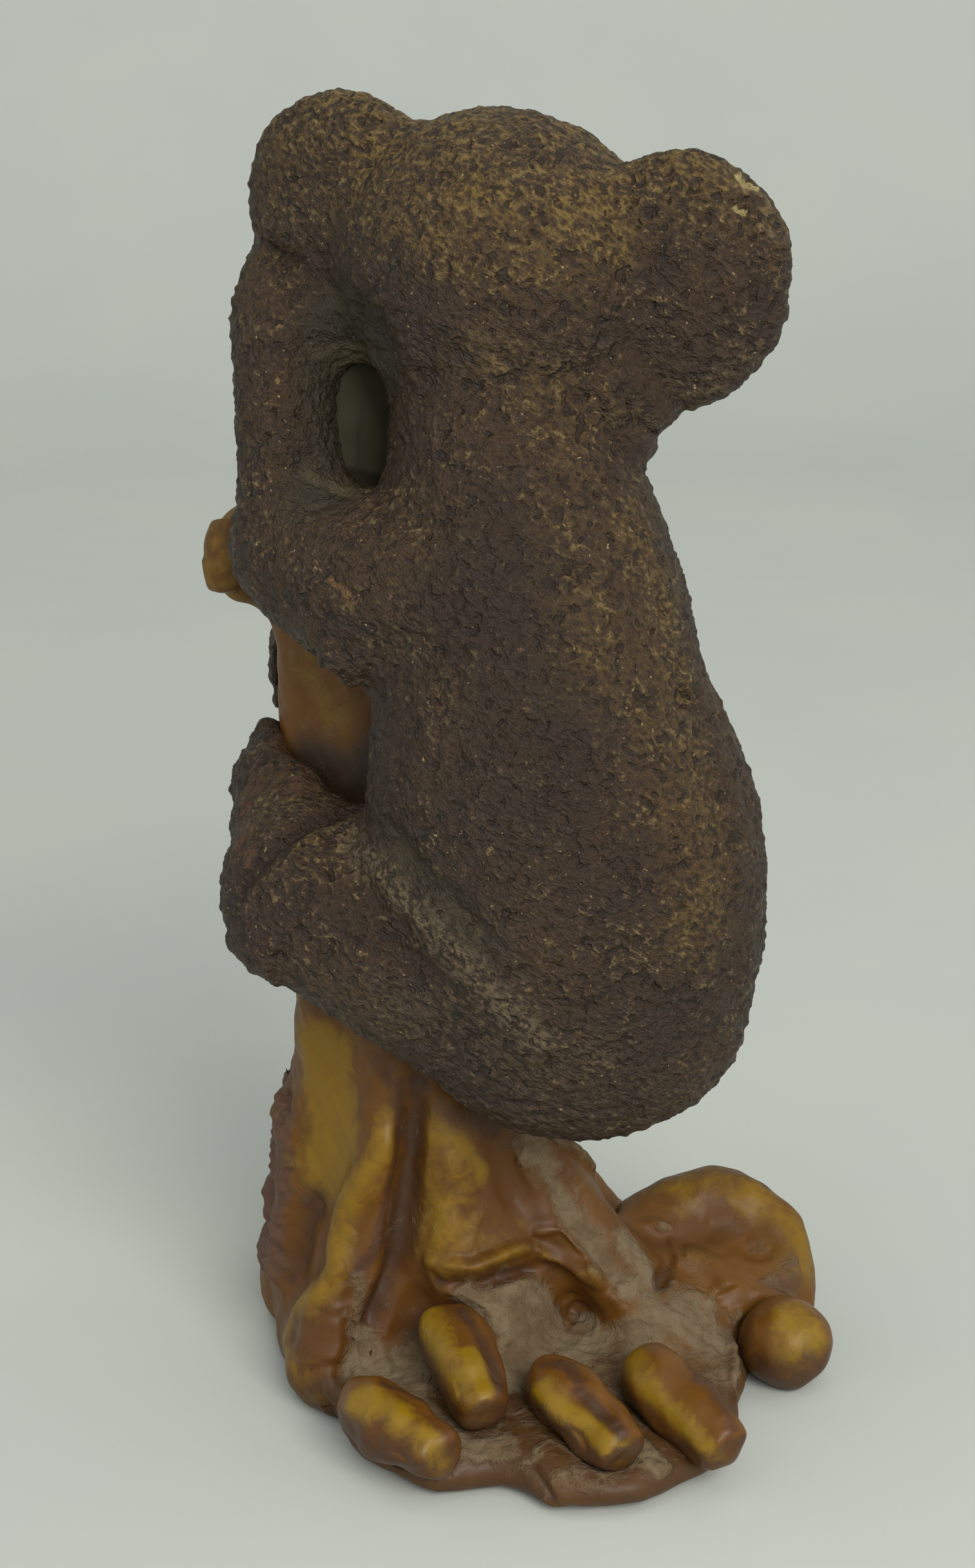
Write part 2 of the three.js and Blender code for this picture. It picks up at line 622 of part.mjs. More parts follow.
// Finishes
const fur = new THREE.MeshStandardMaterial({ color: 0x46352b, roughness: 0.7, metalness: 0 });
const amber = new THREE.MeshStandardMaterial({ color: 0xb07a26, roughness: 0.4, metalness: 0 });
const honey = new THREE.MeshStandardMaterial({ color: 0xc08f2e, roughness: 0.35, metalness: 0 });
const bark = new THREE.MeshStandardMaterial({ color: 0x6b4a30, roughness: 0.75, metalness: 0 });
const ground = new THREE.MeshStandardMaterial({ color: 0x7a5a34, roughness: 0.7, metalness: 0 });
const gloss = new THREE.MeshStandardMaterial({ color: 0x14100d, roughness: 0.2, metalness: 0 });

const roots = {
  root_left: { from: 259, to: 238, top: 36, reach: -0.4, radius: 5 },
  root_side: { from: 186, to: 168, top: 24, reach: -2.6, radius: 4.2 },
  root_front: { from: 289, to: 302, top: 31, reach: 2.2, radius: 4.4, flat: 1.85 },
  root_right: { from: 328, to: 343, top: 33, reach: 12, radius: 4, flat: 1.9 },
  root_far_left: { from: 132, to: 122, top: 30, reach: 1, radius: 4.6 },
  root_far_right: { from: 48, to: 34, top: 31, reach: 7, radius: 5 },
};

// Each gumnut: the ground angle and share out of its round end, its lift, heading, dip and share of length
const gumnuts = [
  { angle: 223, share: 0.51, lift: 3, heading: 287, dip: 18, long: 1 },
  { angle: 222, share: 0.96, lift: 0, heading: 312, dip: 3, long: 1 },
  { angle: 267, share: 0.54, lift: 0, heading: 304, dip: 11, long: 1 },
  { angle: 302, share: 0.55, lift: 0, heading: 305, dip: 12, long: 1.1 },
];

// The pieces, each giving way to those before it where two would meet
const pieces = [];
const piece = (name, family, material, shape) => pieces.push({ name, family, material, shape });

gumnuts.forEach(({ angle, share, lift, heading, dip, long }, i) =>
  piece(`gumnut_${i + 1}`, "stump", honey, (grow) =>
    gumnutShape(
      onGround(angle, share, GUMNUT_RADIUS * (1 - GUMNUT_SINK) + lift),
      heading,
      dip,
      GUMNUT_LENGTH * long,
      grow,
    ),
  ),
);
piece("gum_bud", "stump", honey, (grow) => {
  const r = BUD_RADIUS + grow;
  const place = new THREE.Matrix4().setPosition(onGround(BAY_ANGLE + 14, 1.1, 0).setZ(BUD_RADIUS * 0.94));
  return ellipsoid(r * 1.04, r, r, place, { around: 12, down: 8 }).intersect(aboveTable());
});
piece("nose", "koala", gloss, noseShape);
piece("eye_left", "koala", gloss, (grow) => eyeShape(-1, grow));
piece("eye_right", "koala", gloss, (grow) => eyeShape(1, grow));
piece("head", "koala", fur, headShape);
piece("trunk", "stump", amber, trunkShape);
piece("torso", "koala", fur, torsoShape);
piece("ear_left", "koala", fur, (grow) => earShape(-1, EAR_LEFT_RISE, EAR_LEFT_TALL, grow));
piece("ear_right", "koala", fur, (grow) => earShape(1, EAR_RIGHT_RISE, EAR_RIGHT_TALL, grow));
piece("hand_left", "koala", fur, (grow) => pawShape(HAND_LEFT_ANGLE, HAND_LEFT_Z, -1, 0, grow));
piece("hand_right", "koala", fur, (grow) => pawShape(HAND_RIGHT_ANGLE, HAND_RIGHT_Z, 1, -1, grow));
piece("thigh_left", "koala", fur, (grow) => thighShape("left", -1, grow));
piece("thigh_right", "koala", fur, (grow) => thighShape("right", 1, grow));
piece("upper_arm_left", "koala", fur, (grow) => upperArmShape("left", -1, grow));
piece("upper_arm_right", "koala", fur, (grow) => upperArmShape("right", 1, grow));
piece("forearm_left", "koala", fur, (grow) => forearmShape("left", grow));
piece("forearm_right", "koala", fur, (grow) => forearmShape("right", grow));
piece("lower_leg_left", "koala", fur, (grow) =>
  shinShape("left", grow).add(pawShape(FOOT_LEFT_ANGLE, FOOT_LEFT_Z, -1, 0, grow)),
);
piece("lower_leg_right", "koala", fur, (grow) =>
  shinShape("right", grow).add(pawShape(FOOT_RIGHT_ANGLE, FOOT_RIGHT_Z, 1, 2, grow)),
);
piece("plinth", "stump", ground, plinthShape);
piece("bark_slab", "stump", bark, (grow) => barkShape(158, 203, grow));
piece("root_burl", "stump", amber, burlShape);
piece("root_knuckle", "stump", amber, knuckleShape);
for (const [name, size] of Object.entries(roots)) {
  piece(name, "stump", amber, (grow) => rootShape(size, grow));
}
piece("branch_stub", "stump", amber, stubShape);

// Cuts each piece back from those before it, and keeps its main body
const largest = (body) => body.decompose().reduce((a, b) => (b.volume() > a.volume() ? b : a));
const solids = new Map();
const takenUp = [];
for (const { name, shape } of pieces) {
  const body = takenUp.reduce((left, taken) => left.subtract(taken), shape(0));
  solids.set(name, largest(body));
  takenUp.push(shape(GLUE_GAP));
}

// A peg of one piece, from a point inside it, stands in a socket of the piece that carries it.
function join(child, parent, from, end) {
  const run = end.clone().sub(from).normalize();
  solids.set(child, solids.get(child).add(peg(from, end, PEG_RADIUS)));
  const socket = peg(from, end.clone().addScaledVector(run, GLUE_GAP), PEG_RADIUS + GLUE_GAP);
  solids.set(parent, largest(solids.get(parent).subtract(socket)));
}

// A point at a distance from one point towards another
function towards(from, to, distance) {
  return from.clone().addScaledVector(to.clone().sub(from).normalize(), distance);
}

const spineBase = onBody(NECK_SHIFT_X, NECK_SHIFT_Y, WAIST_Z);
join("head", "torso", headMiddle, towards(headMiddle, spineBase, SKULL_TALL + PEG_DEPTH));
for (const [name, side, rise] of [["ear_left", -1, EAR_LEFT_RISE], ["ear_right", 1, EAR_RIGHT_RISE]]) {
  const lobe = headPoint(side * EAR_SPREAD, 0, rise);
  join(name, "head", lobe, towards(lobe, headMiddle, EAR_SPREAD - SKULL_ACROSS + PEG_DEPTH));
}
for (const [name, side] of [["left", -1], ["right", 1]]) {
  join(`upper_arm_${name}`, "torso", elbow[name], shoulder[name]);
  join(`thigh_${name}`, "torso", knee[name], hip(side));
  const pegRoot = new THREE.CatmullRomCurve3(forearmSpine(name)).getPoint(PEG_ROOT);
  join(`forearm_${name}`, `upper_arm_${name}`, pegRoot, elbow[name]);
  join(`lower_leg_${name}`, `thigh_${name}`, foot[name], knee[name]);
}
const belly = onBody(0, 0, HIP_Z);
join("torso", "trunk", belly, towards(trunkAxis(HIP_Z), belly, TRUNK_RADIUS - PEG_DEPTH));
const stubSeat = (out) => onTrunk(STUB_ANGLE, STUB_Z, out);
join("branch_stub", "trunk", stubSeat(STUB_REACH / 2), stubSeat(-PEG_DEPTH));

// The stump stands at the origin, and the koala's group stands where its torso perches
const group = new THREE.Group();
for (const [family, stand] of [["stump", V(0, 0, 0)], ["koala", perch]]) {
  const branch = new THREE.Group();
  branch.name = family;
  branch.position.copy(stand);
  for (const { name, material } of pieces.filter((p) => p.family === family)) {
    const { numProp, vertProperties, triVerts } = solids.get(name).getMesh();
    const geometry = new THREE.BufferGeometry();
    geometry.setAttribute("position", new THREE.BufferAttribute(new Float32Array(vertProperties), numProp));
    geometry.setIndex(new THREE.BufferAttribute(new Uint32Array(triVerts), 1));
    geometry.translate(-stand.x, -stand.y, -stand.z);
    geometry.computeVertexNormals();
    const mesh = new THREE.Mesh(geometry, material);
    mesh.name = name;
    branch.add(mesh);
  }
  group.add(branch);
}

export default group;
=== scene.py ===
"""Looks of a cast-resin koala that clings to a gum-tree stump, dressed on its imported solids.

The koala and the stump are each fused from their solids into one soft skin, sculpted in millimetres, given
their relief, and then cut back into one closed piece for each solid, so that no seam shows between castings.
"""

import logging
import math
from dataclasses import dataclass, field
from enum import Enum

import bpy
import numpy as np
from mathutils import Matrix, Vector
from mathutils.bvhtree import BVHTree


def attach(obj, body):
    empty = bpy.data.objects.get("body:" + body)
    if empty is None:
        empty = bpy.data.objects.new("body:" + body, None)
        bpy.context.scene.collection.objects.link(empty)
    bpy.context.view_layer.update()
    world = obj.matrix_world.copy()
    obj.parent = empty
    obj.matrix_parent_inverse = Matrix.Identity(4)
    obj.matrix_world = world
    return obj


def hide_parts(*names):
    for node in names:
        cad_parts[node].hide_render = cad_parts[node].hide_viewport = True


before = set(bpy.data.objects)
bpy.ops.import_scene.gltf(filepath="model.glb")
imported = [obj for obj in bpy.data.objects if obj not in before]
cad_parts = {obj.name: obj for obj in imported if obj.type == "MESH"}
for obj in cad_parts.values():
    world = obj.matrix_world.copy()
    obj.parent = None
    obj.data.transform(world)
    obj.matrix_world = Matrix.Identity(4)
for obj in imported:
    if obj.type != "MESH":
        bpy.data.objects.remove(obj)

LOG = logging.getLogger("koala")
MM = 1000.0

Triple = tuple[float, float, float]
Socket = bpy.types.NodeSocket
Source = Socket | float | str | tuple


class Slot(Enum):
    """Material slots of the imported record."""

    FUR = "fur"
    AMBER = "amber"
    HONEY = "honey"
    BARK = "bark"
    GROUND = "ground"
    GLOSS = "gloss"


KOALA_SKIN = (
    "torso", "head", "ear_left", "ear_right",
    "upper_arm_left", "forearm_left", "hand_left",
    "upper_arm_right", "forearm_right", "hand_right",
    "thigh_left", "lower_leg_left", "thigh_right", "lower_leg_right",
)
ROOTS = (
    "root_left", "root_front", "root_right", "root_side", "root_far_left", "root_far_right",
    "root_burl", "root_knuckle",
)
STUMP_SKIN = {
    "trunk": Slot.AMBER, "plinth": Slot.GROUND, "bark_slab": Slot.BARK, "branch_stub": Slot.AMBER,
    **dict.fromkeys(ROOTS, Slot.AMBER),
}
GUMNUTS = ("gumnut_1", "gumnut_2", "gumnut_3", "gumnut_4", "gum_bud")
FACE_BEADS = ("nose", "eye_left", "eye_right")


def smoothstep(low: float, high: float, value: np.ndarray) -> np.ndarray:
    """Eases from 0 at low to 1 at high.

    Args:
        low: Where the result leaves 0.
        high: Where the result reaches 1.
        value: Numbers to ease.

    Returns:
        The eased numbers.
    """
    share = np.clip((value - low) / (high - low), 0, 1)
    return share * share * (3 - 2 * share)


def lengths(vectors: np.ndarray) -> np.ndarray:
    """Lengths of the rows, never zero."""
    return np.maximum(np.linalg.norm(vectors, axis=-1, keepdims=True), 1e-12)


def groups(count: int, links: np.ndarray) -> np.ndarray:
    """Labels the connected groups of a graph.

    Args:
        count: How many members the graph has.
        links: Pairs of members that touch, each pair in both orders.

    Returns:
        One label for each member, the same within a group.
    """
    label = np.arange(count)
    while True:
        lower = label.copy()
        np.minimum.at(lower, links[:, 0], label[links[:, 1]])
        lower = lower[lower]
        lower = lower[lower]
        if np.array_equal(lower, label):
            return label
        label = lower


def polyline_distance(points: np.ndarray, path: np.ndarray) -> tuple[np.ndarray, np.ndarray]:
    """Distance from points to a path of straight runs.

    Args:
        points: Points, one in each row.
        path: Corners of the path, one in each row.

    Returns:
        The distance of each point, and its place along the path from 0 to 1.
    """
    best = np.full(len(points), 1e9)
    place = np.zeros(len(points))
    runs = len(path) - 1
    for i, (start, end) in enumerate(zip(path[:-1], path[1:])):
        run = end - start
        share = np.clip(((points - start) @ run) / max(run @ run, 1e-12), 0, 1)
        gap = np.linalg.norm(points - start - share[:, None] * run, axis=1)
        nearer = gap < best
        best[nearer] = gap[nearer]
        place[nearer] = (i + share[nearer]) / runs
    return best, place


def corner_pairs(quads: np.ndarray, step: int = 1) -> np.ndarray:
    """Pairs of each quad's corners that lie a step apart, in both orders over the whole skin."""
    return np.concatenate([quads[:, [k, (k + step) % 4]] for k in range(4)])


WAVES = 6
WAVE_FADE = 0.55
WAVE_LEVEL = 2.4


def hills(points: np.ndarray, wave: float, seed: int, octaves: int = 3) -> np.ndarray:
    """Smooth random hills made of crossed waves.

    Args:
        points: Points in millimetres.
        wave: Longest wave, in millimetres.
        seed: Fixed seed of the waves.
        octaves: How many times the waves are halved.

    Returns:
        Heights of about -1 to 1.
    """
    rng = np.random.default_rng(seed)
    total = np.zeros(len(points))
    weight = 0.0
    for octave in range(octaves):
        part = np.zeros(len(points))
        for _ in range(WAVES):
            way = rng.standard_normal(3)
            way /= np.linalg.norm(way)
            pitch = 2 ** octave / wave * rng.uniform(0.7, 1.3)
            part += np.sin(points @ way * pitch * math.tau + rng.uniform(0, math.tau))
        total += part / WAVE_LEVEL * WAVE_FADE ** octave
        weight += WAVE_FADE ** octave
    return total / weight


@dataclass(frozen=True)
class PhotoCamera:
    """The camera of the photograph, found from the weave of the cloth.

    Attributes:
        eye: Its place, in metres.
        down: How far it looks down, in degrees.
        lens: Its focal length, in millimetres.
        film: Height of its film, in millimetres.
        wide: Width of the photograph, in pixels.
        tall: Height of the photograph, in pixels.
    """

    eye: Triple = (-0.00587, -0.2632, 0.1472)
    down: float = 17.9
    lens: float = 66.5
    film: float = 36.0
    wide: int = 1512
    tall: int = 2431

    def ray(self, x: float, y: float) -> Vector:
        """Direction of a pixel of the photograph.

        Args:
            x: Pixels from the left edge.
            y: Pixels from the top edge.

        Returns:
            The direction, of length 1.
        """
        slope = math.radians(self.down)
        ahead = self.lens / self.film * self.tall
        across, drop = x - self.wide / 2, y - self.tall / 2
        level = ahead * math.cos(slope) - drop * math.sin(slope)
        rise = -ahead * math.sin(slope) - drop * math.cos(slope)
        return Vector((across, level, rise)).normalized()


PHOTO = PhotoCamera()


@dataclass(frozen=True)
class PhotoView:
    """A part of the photograph, enlarged, in which places were read.

    Attributes:
        left: Photo pixel at its left edge.
        top: Photo pixel at its top edge.
        zoom: How many of its pixels go to a photo pixel.
    """

    left: float = 0.0
    top: float = 0.0
    zoom: float = 1.0


WHOLE_VIEW = PhotoView()
LOWER_VIEW = PhotoView(left=380.0, top=1640.0, zoom=1500 / 940)


@dataclass(frozen=True)
class Stroke:
    """One pull of a sculpting tool along a path.

    Attributes:
        name: What it shapes.
        spots: Places of the path in a view of the photograph, in pixels.
        width: Half-width of the tool, in millimetres.
        lift: How far it raises the skin; below zero it carves.
        mark: Name of the tint that it leaves, if any.
        tint: Strength of that tint.
        flat: Above zero, the share of the width that is flat-bottomed.
    """

    name: str
    spots: tuple[tuple[int, int], ...]
    width: float
    lift: float
    mark: str = ""
    tint: float = 1.0
    flat: float = 0.0


# Places of these two lists are read in the lower view, and of the next two in the whole photograph.
STUMP_STROKES = (
    Stroke("split groove", ((425, 60), (418, 150), (405, 260), (392, 360), (380, 450), (365, 540),
           (335, 620), (300, 700)), 2.2, -1.6, "wash_and_painted_shade"),
    Stroke("left ridge", ((350, 150), (345, 215), (300, 290), (255, 370), (232, 450), (235, 520),
           (205, 575), (150, 625), (115, 700)), 3, 1.2, "bare_resin_and_painted_highlight", 0.85),
    Stroke("hollow beside the left ridge", ((190, 340), (150, 400), (140, 470),
           (120, 540)), 2.8, -1.1, "wash_and_painted_shade", 0.7),
    Stroke("edge of the bare panel", ((118, 20), (118, 80), (122, 160),
           (130, 230)), 1.1, -0.9, "wash_and_painted_shade", 0.9),
    Stroke("bare panel", ((190, 0), (215, 90), (245, 180), (215, 270)), 6.5, 0, "bare_resin_and_painted_highlight", 1, 0.25),
    Stroke("centre panel", ((490, 220), (500, 330), (505, 430), (490, 490)), 5, 0.2, "bare_resin_and_painted_highlight", 0.6, 0.2),
    Stroke("apron", ((560, 400), (640, 430), (720, 420)), 4, 0.3, "bare_resin_and_painted_highlight", 0.25, 0.2),
    Stroke("apron lip", ((455, 500), (560, 520), (640, 482), (700, 465), (765, 480), (835, 530),
           (872, 562)), 1.3, 1.1, "bare_resin_and_painted_highlight", 0.5),
    # painted shade under the apron lip
    Stroke("under the apron lip", ((470, 552), (560, 572), (640, 542), (700, 524), (765, 546), (830, 592),
           (870, 622)), 1.2, -1.1, "wash_and_painted_shade", 0.9),
    Stroke("upper fold", ((690, 425), (780, 428), (850, 495), (885, 560)), 0.9, 0.6, "bare_resin_and_painted_highlight", 0.35),
    Stroke("right channel", ((725, 215), (785, 320), (845, 415), (910, 500),
           (960, 570)), 3.2, -1.5, "dust", 0.85, 0.2),
    Stroke("channel's left ridge", ((660, 190), (715, 300), (770, 390), (840, 480), (890, 560),
           (950, 640)), 1.4, 0.6, "dust", 0.5),
    Stroke("channel's right ridge", ((775, 200), (860, 280), (940, 350), (1040, 430)), 1.4, 1, "dust", 0.6),
    Stroke("crack in the channel", ((850, 410), (920, 500), (970, 580)), 0.6, -0.7, "wash_and_painted_shade"),
    Stroke("burl's hollow", ((1130, 410), (1200, 420), (1260, 460), (1280, 520)), 3, -0.6, "wash_and_painted_shade", 0.35),
    # painted highlight along the burl's lit rim
    Stroke("burl's rim", ((1060, 310), (1140, 300), (1240, 320), (1320, 370), (1365, 440),
           (1370, 500)), 6, 0.2, "bare_resin_and_painted_highlight", 0.7),
    Stroke("knuckle", ((1070, 490), (1130, 500), (1180, 540), (1200, 580)), 2.4, 0.9, "bare_resin_and_painted_highlight", 0.25),
    Stroke("knuckle's hole", ((1021, 471), (1045, 511), (1029, 559)), 1.4, -1.4, "wash_and_painted_shade"),
    Stroke("knuckle's curled lip", ((1050, 452), (1068, 490), (1054, 550)), 0.8, 0.7, "bare_resin_and_painted_highlight", 0.3),
    Stroke("dusty ridge by the bud", ((1225, 630), (1205, 720), (1210, 800)), 1, 0.9, "dust", 0.8),
    # painted shadow on the trunk above the left ridge
    Stroke("painted shadow above the ridge", ((320, 10), (375, 70), (385, 140)), 2.4, 0, "wash_and_painted_shade", 0.75),
    Stroke("left lobe's side", ((230, 600), (240, 680), (220, 760)), 2.6, 0.6, "wash_and_painted_shade", 0.4),
    Stroke("left lobe's crown", ((190, 620), (170, 700), (180, 770)), 3.4, 0.9, "bare_resin_and_painted_highlight", 0.3),
    Stroke("left lobe's foot", ((110, 700), (120, 760), (160, 800)), 3, 0.4, "bare_resin_and_painted_highlight", 0.5),
    Stroke("dusty slope", ((280, 560), (290, 640), (300, 720), (380, 760)), 2.4, -0.4, "dust", 0.7),
    Stroke("purple stain", ((640, 300), (700, 350), (740, 400)), 3, 0, "wash_and_painted_shade", 0.5),
    # darker russet right under the rump
    Stroke("darker under the rump", ((520, 120), (600, 170), (680, 200)), 3.2, 0, "wash_and_painted_shade", 0.65),
    Stroke("dust under the lip", ((560, 610), (640, 630), (720, 600), (760, 650), (680, 710),
           (645, 780)), 3.4, -0.3, "dust", 1, 0.4),
    Stroke("dust by the right nuts", ((870, 660), (820, 720), (800, 780)), 2.8, 0, "dust", 1, 0.4),
    Stroke("dust below the knuckle", ((1050, 640), (1120, 690), (1150, 740)), 2.6, 0, "dust", 0.8, 0.3),
    Stroke("dust by the left nuts", ((400, 770), (420, 850), (540, 960),
           (640, 960)), 2.4, 0, "dust", 0.9, 0.3),
    Stroke("dust between the right nuts", ((900, 880), (1000, 970),
           (1040, 1010)), 1.8, 0, "dust", 0.9, 0.3),
    Stroke("plinth's front lobe", ((720, 1080), (800, 1090), (900, 1075),
           (1030, 1070)), 2.2, 0.5, "wash_and_painted_shade", 0.3),
    Stroke("furrow in the front lobe", ((700, 1000), (730, 1060), (760, 1110)), 1.2, -0.6, "wash_and_painted_shade", 0.6),
    Stroke("plinth's left lobe", ((420, 1010), (480, 1060)), 2.4, 0.6, "wash_and_painted_shade", 0.2),
    Stroke("groove's left wall", ((375, 60), (385, 160), (372, 270), (350, 380), (330, 470),
           (270, 540)), 1.5, 0, "wash_and_painted_shade", 0.9),
    Stroke("centre panel's top", ((515, 190), (555, 245), (585, 285)), 2.4, 0, "bare_resin_and_painted_highlight", 0.7),
    Stroke("burl's lower side", ((1290, 560), (1360, 555)), 3, 0, "wash_and_painted_shade", 0.6),
    Stroke("undercut of the left lobe", ((255, 640), (262, 720), (235, 800)), 1.3, -0.9, "dust", 0.7),
    Stroke("ground by the knuckle", ((1060, 590), (1130, 630), (1170, 720)), 4.5, 0, "dust", 0.7, 0.3),
    Stroke("slope by the knuckle", ((960, 470), (1000, 540), (1020, 620),
           (980, 680)), 3.6, 0, "dust", 0.9, 0.3),
    Stroke("left lobe's front", ((110, 760), (150, 830), (220, 830)), 3.4, 0.5, "bare_resin_and_painted_highlight", 0.35),
    Stroke("gap behind the left nuts", ((300, 700), (270, 790), (360, 800)), 2.6, -0.5, "dust", 1, 0.3),
    Stroke("burl's right side", ((1300, 420), (1345, 480), (1340, 540)), 3, 0, "wash_and_painted_shade", 0.5),
    Stroke("dust in the lower groove", ((360, 560), (325, 640), (300, 700)), 1.8, 0, "dust", 0.7),
    # painted shade in the corner between the left lobe and the nut
    Stroke("corner between lobe and nut", ((125, 840), (165, 885), (210, 925)), 4, -2.5, "wash_and_painted_shade", 0.4),
)
NUT_STROKES = (
    Stroke("1: flank", ((455, 640), (490, 720), (540, 810), (580, 880)), 3, 0, "bare_resin_and_painted_highlight", 0.7, 0.2),
    Stroke("1: lower back", ((560, 740), (590, 820)), 2.4, 0, "bare_resin_and_painted_highlight"),
    Stroke("1: shoulder", ((540, 620), (590, 690), (620, 770), (630, 820)), 1.8, -0.3, "wash_and_painted_shade", 0.9),
    Stroke("2: back", ((270, 850), (350, 860), (440, 930)), 3, 0.1, "bare_resin_and_painted_highlight", 0.9),
    Stroke("2: end", ((460, 940), (470, 1000), (490, 1010)), 2.6, 0, "bare_resin_and_painted_highlight"),
    Stroke("2: belly", ((290, 960), (360, 1000), (410, 1030)), 2, 0, "wash_and_painted_shade", 0.7),
    Stroke("2: upper edge", ((340, 805), (430, 850), (510, 920)), 1, 0, "wash_and_painted_shade", 0.9),
    Stroke("3: back", ((735, 830), (790, 880), (850, 900), (900, 960), (940, 1000)), 2.8, 0.2, "bare_resin_and_painted_highlight"),
    Stroke("3: head", ((740, 760), (790, 755), (830, 800)), 1.6, 0, "wash_and_painted_shade", 0.8),
    Stroke("3: upper edge", ((830, 820), (880, 870), (930, 930)), 1.6, -0.5, "wash_and_painted_shade", 0.95),
    Stroke("4: back", ((950, 740), (1020, 830), (1080, 900), (1150, 980),
           (1180, 1020)), 2.8, 0.2, "bare_resin_and_painted_highlight", 0.9),
    Stroke("4: right lobe", ((1100, 760), (1150, 830), (1200, 910)), 2, 0.3, "wash_and_painted_shade", 0.7),
    Stroke("4: left side", ((940, 800), (1010, 890), (1090, 980)), 1.2, 0, "wash_and_painted_shade", 0.6),
    # painted highlight on the bud's top
    Stroke("bud: top", ((1360, 650), (1390, 690), (1380, 740)), 5, 0, "bare_resin_and_painted_highlight", 0.75, 0.1),
    # painted shade on the bud's unlit left side
    Stroke("bud: left side", ((1260, 640), (1250, 720), (1280, 790)), 2, 0, "wash_and_painted_shade", 0.6),
    Stroke("2: waist", ((440, 870), (410, 935), (385, 1000)), 2, -0.45),
    Stroke("3: waist", ((900, 860), (860, 905), (820, 950)), 2, -0.4),
    Stroke("1: waist", ((620, 780), (565, 805), (515, 830)), 1.8, -0.35),
)
TRUNK_STROKES = (
    # painted shade: the trunk in the hollow beside the neck, and between the foot and the thigh
    Stroke("hollow's shade", ((560, 520), (575, 600), (580, 680), (560, 750)), 9, 1.6, "painted_hollow_shade", 1, 0.7),
    Stroke("hollow's foot", ((520, 770), (560, 770)), 9, 0.6, "painted_hollow_shade", 1, 0.7),
    # painted shade: the trunk between the foot and the thigh takes the colour of shaded fur
    Stroke("shade over the foot", ((480, 1185), (520, 1200), (560, 1215),
           (590, 1180)), 4.2, 0, "fur", 1, 0.3),
    Stroke("gap's lit face", ((470, 1030), (490, 1080), (520, 1110)), 4, 0, "bare_resin_and_painted_highlight", 0.3),
    # painted shade under the thigh
    Stroke("under the thigh", ((470, 1540), (560, 1590), (640, 1640)), 2.4, 0, "wash_and_painted_shade", 0.5),
    Stroke("branch stub", ((345, 800), (350, 860), (370, 920)), 3.5, 0, "bare_resin_and_painted_highlight", 0.6),
    Stroke("stub's swell", ((356, 805), (346, 840), (348, 880), (358, 910)), 5, 1.6, "bare_resin_and_painted_highlight", 0.6),
    Stroke("stub's knob", ((350, 860), (362, 905)), 4, 1.1),
)
